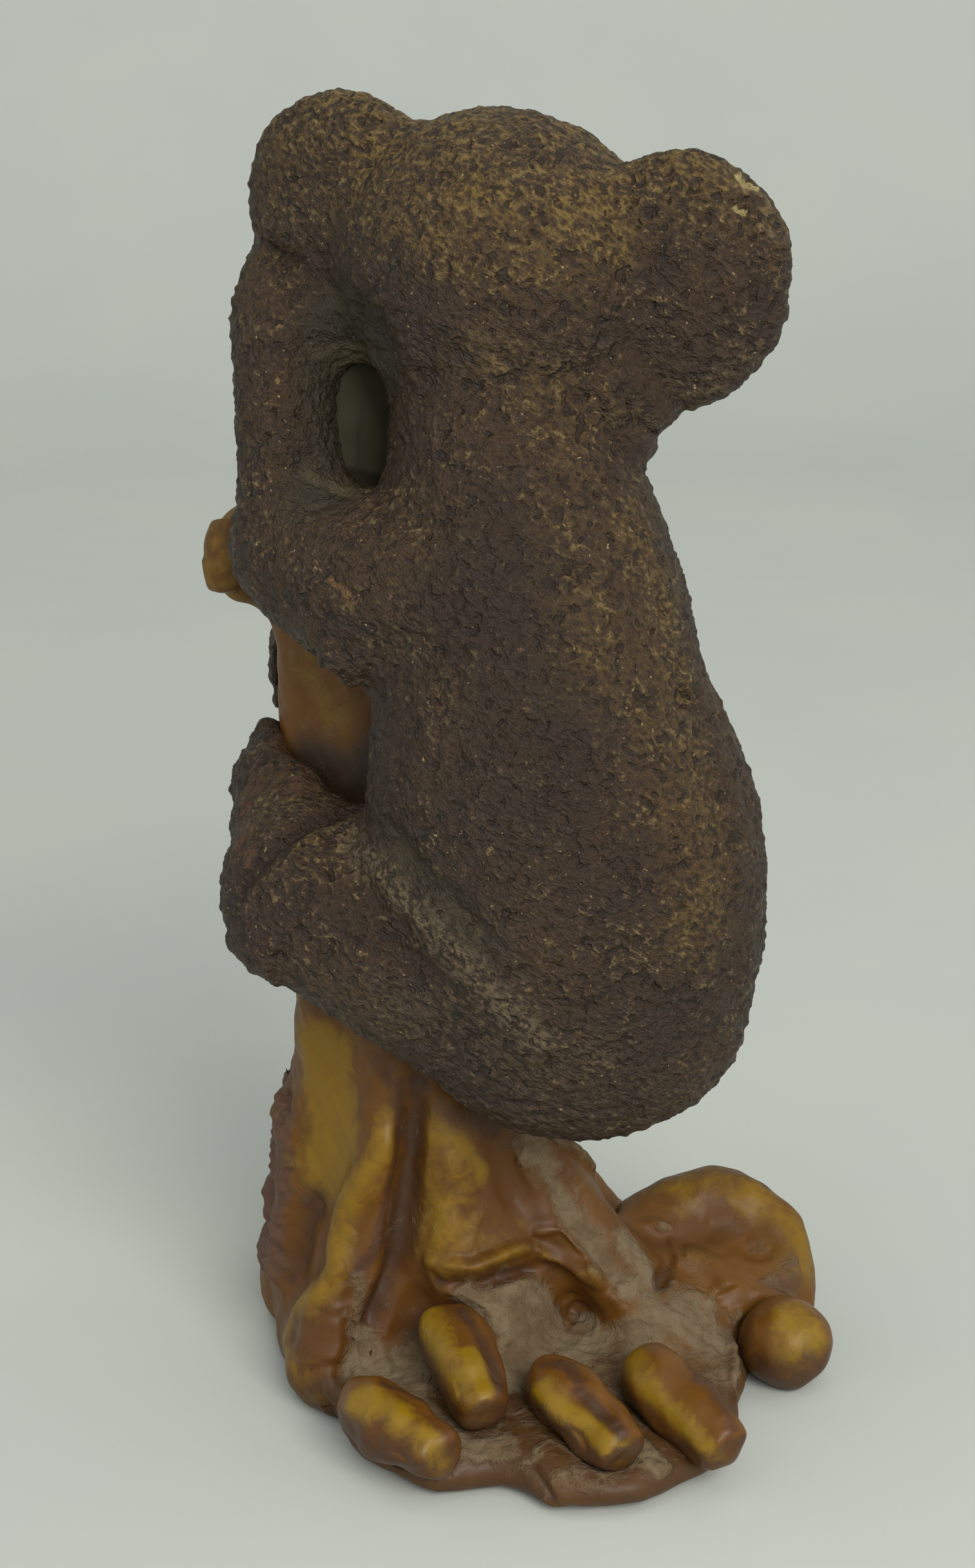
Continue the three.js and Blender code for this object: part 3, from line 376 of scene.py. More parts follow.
KOALA_STROKES = (
    # painted shade in the thigh crease
    Stroke("thigh crease", ((565, 1215), (598, 1285), (645, 1352), (706, 1412),
           (765, 1465)), 3.4, -1, "olive_painted_shade", 0.7),
    Stroke("thigh's dusted edge", ((558, 1302), (598, 1358), (652, 1415), (706, 1475), (760, 1535),
           (830, 1605)), 3.4, 0.5, "ash_and_painted_light"),
    Stroke("arm's dusted edge", ((500, 800), (560, 790), (640, 765)), 2.2, 0, "gilt_and_painted_light", 0.4),
    Stroke("flank notch", ((1080, 1084), (1050, 1088)), 1.6, -0.8, "shade", 0.3),
    # painted light: more gold where the right flank is lit
    Stroke("right flank", ((985, 820), (1020, 930), (1040, 1040), (1065, 1180), (1085, 1320),
           (1080, 1450)), 6.5, 0, "gilt_and_painted_light", 0.4),
    Stroke("back's flecked band", ((860, 830), (880, 930), (930, 1030),
           (1000, 1130)), 6.5, 0, "gilt_and_painted_light", 0.28),
    Stroke("elbow chip", ((512, 905), (535, 915), (556, 928)), 1.1, -0.15, "chip", 0.8),
    Stroke("elbow chip low", ((540, 935), (545, 945)), 0.8, -0.1, "chip", 0.7),
    Stroke("ear rim", ((1172, 310), (1192, 345), (1197, 400), (1192, 460),
           (1180, 520)), 0.9, -0.2, "chip", 0.4),
    Stroke("ear chip", ((1150, 278), (1170, 285)), 1.1, -0.8, "cream"),
    Stroke("ear spot", ((1130, 330), (1145, 325), (1158, 330)), 0.7, -0.3, "cream", 0.9),
    Stroke("ear edge low", ((1190, 470), (1165, 545), (1140, 585)), 0.9, 0, "chip", 0.35),
    Stroke("head scuff", ((846, 392), (858, 386), (866, 380)), 0.5, 0, "scuff", 0.9),
    Stroke("head scuff low", ((790, 400), (830, 398)), 0.4, 0, "scuff", 0.45),
    Stroke("foot's bare top", ((425, 1160), (470, 1190), (462, 1230)), 2.4, 0, "rust", 0.8),
    Stroke("foot's edge", ((400, 1200), (385, 1260), (380, 1330)), 2.6, 0, "rust", 0.6),
    Stroke("rump bottom", ((800, 1690), (950, 1700), (1040, 1670)), 3.5, 0, "shade", 0.2),
    Stroke("notch under the left ear", ((420, 382), (440, 392), (470, 408)), 1.5, -1.3, "shade", 0.4),
    # painted shade in the hollow between the left forearm and the neck
    Stroke("hollow's head", ((545, 470), (575, 520), (590, 570)), 5, -1.4, "olive_painted_shade"),
    Stroke("hollow's left slope", ((520, 500), (530, 600), (525, 700),
           (500, 765)), 5.5, -1, "olive_painted_shade", 0.85, 0.3),
    Stroke("hollow's foot", ((470, 790), (530, 765), (580, 745)), 2.4, -0.4, "olive_painted_shade", 0.7),
    Stroke("crease behind the foot", ((366, 1400), (404, 1349), (451, 1297), (498, 1272),
           (545, 1262)), 1.7, -1, "shade", 0.7),
    Stroke("shin's ridge", ((392, 1400), (425, 1345), (480, 1300), (545, 1290)), 1.8, 0.4, "gilt_and_painted_light", 0.45),
    Stroke("knee's corner", ((370, 1430), (400, 1470), (440, 1496)), 7, 1.6),
    Stroke("foot's head", ((428, 1125), (440, 1165)), 2.6, 0.9, "rust", 0.7),
    Stroke("dark neck", ((640, 470), (650, 560), (655, 660), (650, 760)), 7, 0, "shade", 0.25),
    Stroke("nape", ((760, 560), (850, 590), (900, 640), (890, 700)), 6, 0, "gilt_and_painted_light", 0.3),
    Stroke("ear rim's crease", ((1148, 300), (1166, 350), (1172, 420),
           (1165, 480)), 0.8, -0.55, "shade", 0.4),
    Stroke("ear's bare patch", ((1130, 325), (1150, 318), (1160, 345)), 1.6, -0.2, "chip", 0.3),
    Stroke("crown", ((600, 250), (720, 270), (860, 300), (930, 340)), 7, 0, "gilt_and_painted_light", 0.75, 0.3),
    Stroke("crown's lower part", ((680, 360), (800, 380), (900, 400)), 6, 0, "gilt_and_painted_light", 0.45, 0.2),
    Stroke("back's dark middle", ((760, 880), (800, 1050), (830, 1200)), 9, 0, "shade", 0.55, 0.3),
    Stroke("rump's grey nap", ((620, 1560), (760, 1620), (900, 1640)), 6, 0, "ash_and_painted_light", 0.25, 0.2),
    Stroke("right edge's step", ((1066, 1062), (1058, 1085)), 1.7, -0.8),
    Stroke("ear's pale rim", ((1166, 290), (1188, 320), (1198, 370)), 1.3, 0.2, "ash_and_painted_light", 0.7),
    Stroke("arm's sagging edge", ((500, 1000), (535, 1018), (562, 1045)), 3, 1.5),
)


class Clay:
    """A closed skin of quads, in millimetres, with named tints on its points."""

    END_LIFT = 0.35
    END_SHARE = 0.12
    BRUSH_HOLD = 0.4

    def __init__(self, points: np.ndarray, quads: np.ndarray) -> None:
        """Takes over a skin and links its neighbours.

        Args:
            points: Its points, one in each row.
            quads: Numbers of the four corners of each quad.
        """
        self.points = points
        self.quads = quads
        self.tints: dict[str, np.ndarray] = {}
        self.edges = corner_pairs(quads)
        self.degree = np.maximum(np.bincount(self.edges[:, 0], minlength=len(points)), 1)

    @classmethod
    def of_mesh(cls, mesh: bpy.types.Mesh) -> "Clay":
        """Reads a mesh that holds only quads.

        Args:
            mesh: The mesh.

        Returns:
            Its skin.
        """
        corners = np.empty(len(mesh.loops), dtype=np.int32)
        mesh.loops.foreach_get("vertex_index", corners)
        return cls(mesh_points(mesh), corners.reshape(-1, 4))

    @classmethod
    def fuse(cls, nodes: tuple[str, ...], voxel: float, swell: float) -> "Clay":
        """Fuses solids into one skin.

        Args:
            nodes: Names of the solids.
            voxel: Size of the skin's quads.
            swell: How far each solid is puffed up first, so that glue gaps close.

        Returns:
            The outer skin of the fused solids.
        """
        points, faces, _ = gathered(nodes, swell)
        mesh = bpy.data.meshes.new("fused")
        mesh.from_pydata(points, [], faces)
        body = linked(mesh)
        remesh = body.modifiers.new("voxels", "REMESH")
        remesh.mode = "VOXEL"
        remesh.voxel_size = voxel
        return cls.of_mesh(finished(body)).largest()

    def largest(self) -> "Clay":
        """Keeps the largest connected skin.

        Returns:
            That skin alone.
        """
        label = groups(len(self.points), self.edges)
        names, counts = np.unique(label, return_counts=True)
        kept = label == names[counts.argmax()]
        order = np.cumsum(kept) - 1
        return Clay(self.points[kept], order[self.quads[kept[self.quads[:, 0]]]])

    def subdivided(self) -> "Clay":
        """Splits each quad in four, towards the smooth limit of the skin.

        Returns:
            The finer skin.
        """
        body = linked(self.mesh("subdivided"))
        rounds = body.modifiers.new("rounds", "SUBSURF")
        rounds.levels = rounds.render_levels = 1
        return Clay.of_mesh(finished(body))

    def mesh(self, name: str) -> bpy.types.Mesh:
        """Makes a mesh of the skin with its tints.

        Args:
            name: The mesh's name.

        Returns:
            The new mesh.
        """
        made = bpy.data.meshes.new(name)
        made.vertices.add(len(self.points))
        made.vertices.foreach_set("co", self.points.astype(np.float32).ravel())
        made.loops.add(self.quads.size)
        made.loops.foreach_set("vertex_index", self.quads.astype(np.int32).ravel())
        made.polygons.add(len(self.quads))
        made.polygons.foreach_set("loop_start", np.arange(0, self.quads.size, 4, dtype=np.int32))
        made.update(calc_edges=True)
        spread_tints(made, self.tints)
        return made

    def mean(self, values: np.ndarray) -> np.ndarray:
        """Takes the mean over each point's neighbours.

        Args:
            values: A number or a row of numbers for each point.

        Returns:
            The means.
        """
        ends = self.edges[:, 1]
        if values.ndim == 1:
            return np.bincount(self.edges[:, 0], values[ends], len(self.points)) / self.degree
        return np.stack([self.mean(values[:, k]) for k in range(values.shape[1])], axis=1)

    def blurred(self, values: np.ndarray, passes: int) -> np.ndarray:
        """Blurs values over the skin.

        Args:
            values: A number or a row of numbers for each point.
            passes: How many times they are averaged.

        Returns:
            The blurred values.
        """
        for _ in range(passes):
            values = self.mean(values)
        return values

    def smooth(self, passes: int, amount: np.ndarray | float = 0.6) -> None:
        """Relaxes the skin.

        Args:
            passes: How many times.
            amount: Share of the way to the neighbours' mean, for all points or for each.
        """
        share = amount[:, None] if isinstance(amount, np.ndarray) else amount
        for _ in range(passes):
            self.points += (self.mean(self.points) - self.points) * share

    def lift(self, heights: np.ndarray, normals: np.ndarray) -> None:
        """Raises each point along its outward direction."""
        self.points += normals * heights[:, None]

    def tinge(self, mark: str, values: np.ndarray) -> None:
        """Strengthens a tint where the values are higher."""
        self.tints[mark] = np.maximum(self.tints[mark], values)

    def normals(self) -> np.ndarray:
        """Works out the outward direction at each point.

        Returns:
            Directions of length 1.
        """
        corner = self.points[self.quads]
        facing = np.cross(corner[:, 2] - corner[:, 0], corner[:, 3] - corner[:, 1])
        total = np.zeros_like(self.points)
        for k in range(4):
            for axis in range(3):
                total[:, axis] += np.bincount(self.quads[:, k], facing[:, axis], len(self.points))
        return total / lengths(total)

    def bulge(self, passes: int) -> np.ndarray:
        """How far each point stands out of its surroundings, in millimetres.

        Args:
            passes: How wide the surroundings are.

        Returns:
            Heights, below zero in recesses.
        """
        return ((self.points - self.blurred(self.points, passes)) * self.normals()).sum(axis=1)

    def pull(self, strokes: tuple[Stroke, ...], caster: "Caster") -> None:
        """Sculpts the strokes, in order, and leaves their tints.

        Args:
            strokes: The strokes.
            caster: Finds where their places lie on the solids.
        """
        normals = self.normals()
        for stroke in strokes:
            path = caster.path(stroke)
            reach = stroke.width
            inside = (self.points > path.min(0) - reach) & (self.points < path.max(0) + reach)
            near = np.flatnonzero(inside.all(axis=1))
            gap, place = polyline_distance(self.points[near], path)
            fade = 1 - smoothstep(stroke.flat * reach, reach, gap)
            whole = smoothstep(0, self.END_SHARE, place) * (1 - smoothstep(1 - self.END_SHARE, 1, place))
            ends = self.END_LIFT + (1 - self.END_LIFT) * whole
            self.points[near] += normals[near] * (fade * ends * stroke.lift)[:, None]
            if stroke.mark:
                tint = self.tints.setdefault(stroke.mark, np.zeros(len(self.points)))
                tint[near] = np.maximum(tint[near], fade * stroke.tint)

    def brushed(self, flow: np.ndarray, seed: int, passes: int, keen: float) -> np.ndarray:
        """Random brush strokes that follow a flow over the skin.

        Args:
            flow: Direction of the strokes at each point.
            seed: Fixed seed of the strokes.
            passes: Length of the strokes.
            keen: How closely they keep to the flow.

        Returns:
            Heights with a mean of 0 and a spread of 1.
        """
        links = np.concatenate([self.edges, corner_pairs(self.quads, 2)])
        step = self.points[links[:, 1]] - self.points[links[:, 0]]
        step /= lengths(step)
        hold = np.abs((step * flow[links[:, 0]]).sum(axis=1)) ** keen
        total = np.maximum(np.bincount(links[:, 0], hold, len(self.points)), 1e-9)
        value = np.random.default_rng(seed).standard_normal(len(self.points))
        for _ in range(passes):
            drawn = np.bincount(links[:, 0], hold * value[links[:, 1]], len(self.points)) / total
            value = self.BRUSH_HOLD * value + (1 - self.BRUSH_HOLD) * drawn
        value -= value.mean()
        return value / value.std()


def mesh_points(mesh: bpy.types.Mesh) -> np.ndarray:
    """Reads the points of a mesh.

    Args:
        mesh: The mesh.

    Returns:
        Its points, one in each row.
    """
    points = np.empty(len(mesh.vertices) * 3)
    mesh.vertices.foreach_get("co", points)
    return points.reshape(-1, 3)


def spread_tints(mesh: bpy.types.Mesh, tints: dict[str, np.ndarray]) -> None:
    """Writes tints on the points of a mesh.

    Args:
        mesh: The mesh.
        tints: Values by the tints' names, for its first points; the rest stay at 0.
    """
    for name, values in tints.items():
        filled = np.zeros(len(mesh.vertices), dtype=np.float32)
        filled[:len(values)] = values
        mesh.attributes.new(name, "FLOAT", "POINT").data.foreach_set("value", filled)


def welded(mesh: bpy.types.Mesh) -> tuple[np.ndarray, np.ndarray]:
    """A solid's points, in millimetres and without doubles, and its triangles.

    Args:
        mesh: The solid's mesh of loose triangles, which stays as it is.

    Returns:
        The points and the triangles.
    """
    points = mesh_points(mesh) * MM
    mesh.calc_loop_triangles()
    corners = np.empty(len(mesh.loop_triangles) * 3, dtype=np.int32)
    mesh.loop_triangles.foreach_get("vertices", corners)
    _, first, where = np.unique(np.round(points, 3), axis=0, return_index=True, return_inverse=True)
    triangles = where.reshape(-1)[corners].reshape(-1, 3)
    whole = (triangles[:, 0] != triangles[:, 1]) & (triangles[:, 1] != triangles[:, 2])
    whole &= triangles[:, 0] != triangles[:, 2]
    return points[first], triangles[whole]


def triangle_normals(points: np.ndarray, triangles: np.ndarray) -> np.ndarray:
    """Works out the outward direction at each point of a solid.

    Args:
        points: Its points.
        triangles: Its triangles.

    Returns:
        Directions of length 1.
    """
    corner = points[triangles]
    facing = np.cross(corner[:, 1] - corner[:, 0], corner[:, 2] - corner[:, 0])
    total = np.zeros_like(points)
    for k in range(3):
        np.add.at(total, triangles[:, k], facing)
    return total / lengths(total)


def linked(data: bpy.types.ID) -> bpy.types.Object:
    """Makes an object of the scene.

    Args:
        data: Its mesh, lamp or camera, whose name it takes.

    Returns:
        The object.
    """
    made = bpy.data.objects.new(data.name, data)
    bpy.context.scene.collection.objects.link(made)
    return made


def finished(body: bpy.types.Object) -> bpy.types.Mesh:
    """Turns an object with modifiers into a plain mesh and removes the object.

    Args:
        body: The passing object.

    Returns:
        Its evaluated mesh.
    """
    shape = body.evaluated_get(bpy.context.evaluated_depsgraph_get())
    made = bpy.data.meshes.new_from_object(shape)
    old = body.data
    bpy.data.objects.remove(body)
    bpy.data.meshes.remove(old)
    return made


def gathered(nodes: tuple[str, ...], swell: float = 0.0) -> tuple[list, list, list[int]]:
    """Gathers the faces of several solids.

    Args:
        nodes: Names of the solids.
        swell: How far each solid is puffed up, in millimetres.

    Returns:
        The points in millimetres, the triangles, and the number of each triangle's solid.
    """
    spots, faces, owners, start = [], [], [], 0
    for i, name in enumerate(nodes):
        points, triangles = welded(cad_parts[name].data)
        spots.append(points + triangle_normals(points, triangles) * swell)
        faces.append(triangles + start)
        owners += [i] * len(triangles)
        start += len(points)
    return np.concatenate(spots).tolist(), np.concatenate(faces).tolist(), owners


class Caster:
    """Finds where places of the photograph lie on the solids."""

    FALL = 3.5

    def __init__(self, nodes: tuple[str, ...], view: PhotoView) -> None:
        """Readies the search.

        Args:
            nodes: Names of the solids that are looked at.
            view: The view in which the places were read.
        """
        points, faces, _ = gathered(nodes)
        self.tree = BVHTree.FromPolygons(points, faces)
        self.view = view

    def path(self, stroke: Stroke) -> np.ndarray:
        """Casts a stroke on the solids; a spot that falls through a gap goes between its neighbours.

        Args:
            stroke: The stroke.

        Returns:
            Corners of its path, in millimetres.
        """
        eye, view = Vector(PHOTO.eye) * MM, self.view
        rays = [PHOTO.ray(view.left + x / view.zoom, view.top + y / view.zoom) for x, y in stroke.spots]
        hits = [self.tree.ray_cast(eye, ray)[0] for ray in rays]
        path = np.array([tuple(hit) for hit in hits if hit is not None])
        if len(path) < len(hits):
            LOG.info("%s: %d places miss the solids", stroke.name, len(hits) - len(path))
        for i in range(1, len(path) - 1):
            middle = (path[i - 1] + path[i + 1]) / 2
            if path[i, 1] - middle[1] > self.FALL:
                path[i] = middle
        return path


class Cutter:
    """Cuts a fused skin back into one closed piece for each of its solids."""

    VOTES = 3
    ROUNDS = 6

    def __init__(self, nodes: tuple[str, ...]) -> None:
        """Readies a search of the nearest solid.

        Args:
            nodes: Names of the solids.
        """
        self.nodes = nodes
        points, faces, self.owners = gathered(nodes)
        self.tree = BVHTree.FromPolygons(points, faces)

    def nearest(self, points: np.ndarray) -> np.ndarray:
        """Number of the solid that is nearest to each point."""
        find = self.tree.find_nearest
        return np.array([self.owners[find(Vector(p))[2]] for p in points.tolist()])

    def share(self, clay: Clay, names: tuple[str, ...], passes: int) -> np.ndarray:
        """Tells how far each point belongs to some of the solids.

        Args:
            clay: The fused skin.
            names: Those solids.
            passes: How far their edges are blurred.

        Returns:
            Shares from 0 to 1.
        """
        numbers = [self.nodes.index(name) for name in names]
        mine = np.isin(self.nearest(clay.points), numbers)
        return clay.blurred(mine.astype(float), passes)

    def labels(self, clay: Clay) -> np.ndarray:
        """Gives each quad to a solid, with no stray islands.

        Args:
            clay: The fused skin.

        Returns:
            One solid's number for each quad.
        """
        label = self.nearest(clay.points[clay.quads].mean(axis=1))
        sides = np.sort(clay.edges, axis=1)
        owner = np.tile(np.arange(len(clay.quads)), 4)
        order = np.lexsort((sides[:, 1], sides[:, 0]))
        pairs = owner[order].reshape(-1, 2)
        links = np.concatenate([pairs, pairs[:, ::-1]])
        for _ in range(self.ROUNDS):
            votes = np.zeros((len(clay.quads), len(self.nodes)), dtype=np.int8)
            np.add.at(votes, (links[:, 0], label[links[:, 1]]), 1)
            top = votes.argmax(axis=1)
            label = np.where(votes.max(axis=1) >= self.VOTES, top, label)
        alike = links[label[links[:, 0]] == label[links[:, 1]]]
        island = groups(len(clay.quads), alike)
        for number in range(len(self.nodes)):
            mine = np.flatnonzero(label == number)
            names, counts = np.unique(island[mine], return_counts=True)
            if len(names) > 1:
                label[mine[island[mine] != names[counts.argmax()]]] = -1
        while (label < 0).any():
            edge = links[(label[links[:, 0]] < 0) & (label[links[:, 1]] >= 0)]
            if not len(edge):
                break
            label[edge[:, 0]] = label[edge[:, 1]]
        return label

    def cut(self, clay: Clay, depth: float) -> dict[str, bpy.types.Object]:
        """Makes one closed piece for each solid.

        Args:
            clay: The finished skin.
            depth: How far the hidden caps lie under the skin.

        Returns:
            The pieces by the names of their solids.
        """
        label = self.labels(clay)
        normals = clay.normals()
        return {
            name: closed_piece(name, clay, clay.quads[label == number], normals, depth)
            for number, name in enumerate(self.nodes)
        }


RIM_SHARE = 0.3
CAP_FLOOR = 0.2


def closed_piece(name: str, clay: Clay, quads: np.ndarray, normals: np.ndarray,
                 depth: float = 1.0) -> bpy.types.Object:
    """A patch of skin, closed by hidden caps, with the whole skin's shading.

    Args:
        name: The solid that it stands for.
        clay: The skin that it is cut from.
        quads: The patch.
        normals: The skin's outward directions.
        depth: How far the caps' hubs lie under the skin.

    Returns:
        The new object, in metres.
    """
    used, local = np.unique(quads, return_inverse=True)
    local = local.reshape(-1, 4)
    points = clay.points[used]
    facing = normals[used]
    sides = corner_pairs(local)
    keys = sides[:, 0].astype(np.int64) * len(used) + sides[:, 1]
    back = sides[:, 1].astype(np.int64) * len(used) + sides[:, 0]
    rim = sides[~np.isin(keys, back)]
    caps, inner = [], []
    if len(rim):
        loop = groups(len(used), np.concatenate([rim, rim[:, ::-1]]))
        for ring in np.unique(loop[rim[:, 0]]):
            edges = rim[loop[rim[:, 0]] == ring]
            first = len(used) + len(inner)
            starts = edges[:, 0]
            under = {int(a): first + i for i, a in enumerate(starts)}
            inner += list(points[starts] - facing[starts] * depth * RIM_SHARE)
            hub = len(used) + len(inner)
            inner.append(points[starts].mean(axis=0) - facing[starts].mean(axis=0) * depth)
            for a, b in edges.tolist():
                caps += [(b, a, under[a], under[b]), (under[b], under[a], hub)]
    inside = np.array(inner).reshape(-1, 3)
    inside[:, 2] = np.maximum(inside[:, 2], CAP_FLOOR)
    spots = np.concatenate([points, inside]) / MM
    shading = np.concatenate([facing, np.tile([0.0, 0.0, 1.0], (len(inside), 1))])
    mesh = bpy.data.meshes.new(f"{name}_skin")
    mesh.from_pydata(spots.tolist(), [], local.tolist() + caps)
    spread_tints(mesh, {tint: values[used] for tint, values in clay.tints.items()})
    mesh.shade_smooth()
    mesh.normals_split_custom_set_from_vertices(shading.tolist())
    return linked(mesh)


def settle(piece: bpy.types.Object, node: str, material: bpy.types.Material) -> None:
    """Dresses a piece, lets it stand for its solid and reports it.

    Args:
        piece: The finished object.
        node: The solid that it replaces.
        material: Its material.
    """
    piece.data.materials.clear()
    piece.data.materials.append(material)
    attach(piece, "root")
    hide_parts(node)
    LOG.info("%s: %d faces", piece.name, len(piece.data.polygons))


def plug(tree: bpy.types.NodeTree, source: Source, target: Socket) -> None:
    """Feeds an input of a node.

    Args:
        tree: The tree that holds the node.
        source: A socket to link, or a value to set.
        target: The input.
    """
    if isinstance(source, Socket):
        tree.links.new(source, target)
    else:
        target.default_value = source


def add_node(tree: bpy.types.NodeTree, kind: str, inputs: dict, **settings: str) -> bpy.types.Node:
    """Adds a node to a tree.

    Args:
        tree: The tree.
        kind: The node's type.
        inputs: Sockets or values for its inputs, by their names or numbers.
        **settings: The node's own settings.

    Returns:
        The new node.
    """
    node = tree.nodes.new(kind)
    for key, value in settings.items():
        setattr(node, key, value)
    for key, source in inputs.items():
        plug(tree, source, node.inputs[key])
    return node


class Paint:
    """Lays out the nodes of one material."""

    MIX_FIRST, MIX_SECOND, MIX_RESULT = 6, 7, 2

    def __init__(self, name: str) -> None:
        """Starts a material with a principled shader.

        Args:
            name: The material's name.
        """
        self.material = bpy.data.materials.new(name)
        self.material.use_nodes = True
        self.tree = self.material.node_tree
        self.shader = self.tree.nodes["Principled BSDF"]
        self.place = self.tree.nodes.new("ShaderNodeTexCoord").outputs["Object"]

    def noise(self, scale: float, detail: float = 3.0, roughness: float = 0.55, distortion: float = 0.0,
              lie: Triple = (0.0, 0.0, 0.0), long: Triple = (1.0, 1.0, 1.0)) -> Socket:
        """A noise over the piece.

        Args:
            scale: Waves in a metre.
            detail: How many finer noises are added.
            roughness: How strong the finer ones are.
            distortion: How far it is swirled.
            lie: How its axes are turned.
            long: How it is drawn out along those axes.

        Returns:
            Its height.
        """
        drawn = add_node(self.tree, "ShaderNodeMapping", {
            "Vector": self.place, "Rotation": lie, "Scale": long,
        }, vector_type="TEXTURE")
        return add_node(self.tree, "ShaderNodeTexNoise", {
            "Vector": drawn.outputs["Vector"], "Scale": scale, "Detail": detail,
            "Roughness": roughness, "Distortion": distortion,
        }).outputs["Fac"]

    def tint(self, name: str) -> Socket:
        """A tint that the piece carries on its points."""
        return add_node(self.tree, "ShaderNodeAttribute", {}, attribute_name=name).outputs["Fac"]

    def fit(self, source: Socket, low: float, high: float, start: float = 0.0, end: float = 1.0) -> Socket:
        """Maps one range to another, smoothly.

        Args:
            source: The values.
            low: Value that goes to start.
            high: Value that goes to end.
            start: Where the new range starts.
            end: Where it ends.

        Returns:
            The new values.
        """
        inputs = {"Value": source, "From Min": low, "From Max": high, "To Min": start, "To Max": end}
        node = add_node(self.tree, "ShaderNodeMapRange", inputs, interpolation_type="SMOOTHSTEP")
        return node.outputs["Result"]

    def math(self, kind: str, first: Source, second: Source) -> Socket:
        """Combines two sockets or numbers."""
        return add_node(self.tree, "ShaderNodeMath", {0: first, 1: second}, operation=kind).outputs["Value"]

    def mix(self, factor: Socket, first: Source, second: Source) -> Socket:
        """Mixes two colours, given as sockets or hex words.

        Args:
            factor: Share of the second colour.
            first: The first colour.
            second: The second colour.

        Returns:
            The mixed colour.
        """
        shown = [colour(part) if isinstance(part, str) else part for part in (first, second)]
        inputs = {"Factor": factor, self.MIX_FIRST: shown[0], self.MIX_SECOND: shown[1]}
        return add_node(self.tree, "ShaderNodeMix", inputs, data_type="RGBA").outputs[self.MIX_RESULT]

    def bump(self, height: Socket, strength: float, distance: float, under: Socket | None = None) -> Socket:
        """Raises bumps.

        Args:
            height: Heights of the bumps.
            strength: How strong they are, from 0 to 1.
            distance: How high they are, in metres.
            under: Normal that they are raised on, if any.

        Returns:
            The bumpy normal.
        """
        inputs = {"Height": height, "Strength": strength, "Distance": distance}
        if under is not None:
            inputs["Normal"] = under
        return add_node(self.tree, "ShaderNodeBump", inputs).outputs["Normal"]

    def feed(self, socket: str, source: Source) -> None:
        """Gives the shader a socket or a constant."""
        plug(self.tree, source, self.shader.inputs[socket])


def colour(word: str) -> tuple[float, float, float, float]:
    """A linear colour from a hex word of the kind seen on a screen."""
    shown = [int(word[i:i + 2], 16) / 255 for i in (0, 2, 4)]
    return (*((c / 12.92 if c <= 0.04045 else ((c + 0.055) / 1.055) ** 2.4) for c in shown), 1.0)


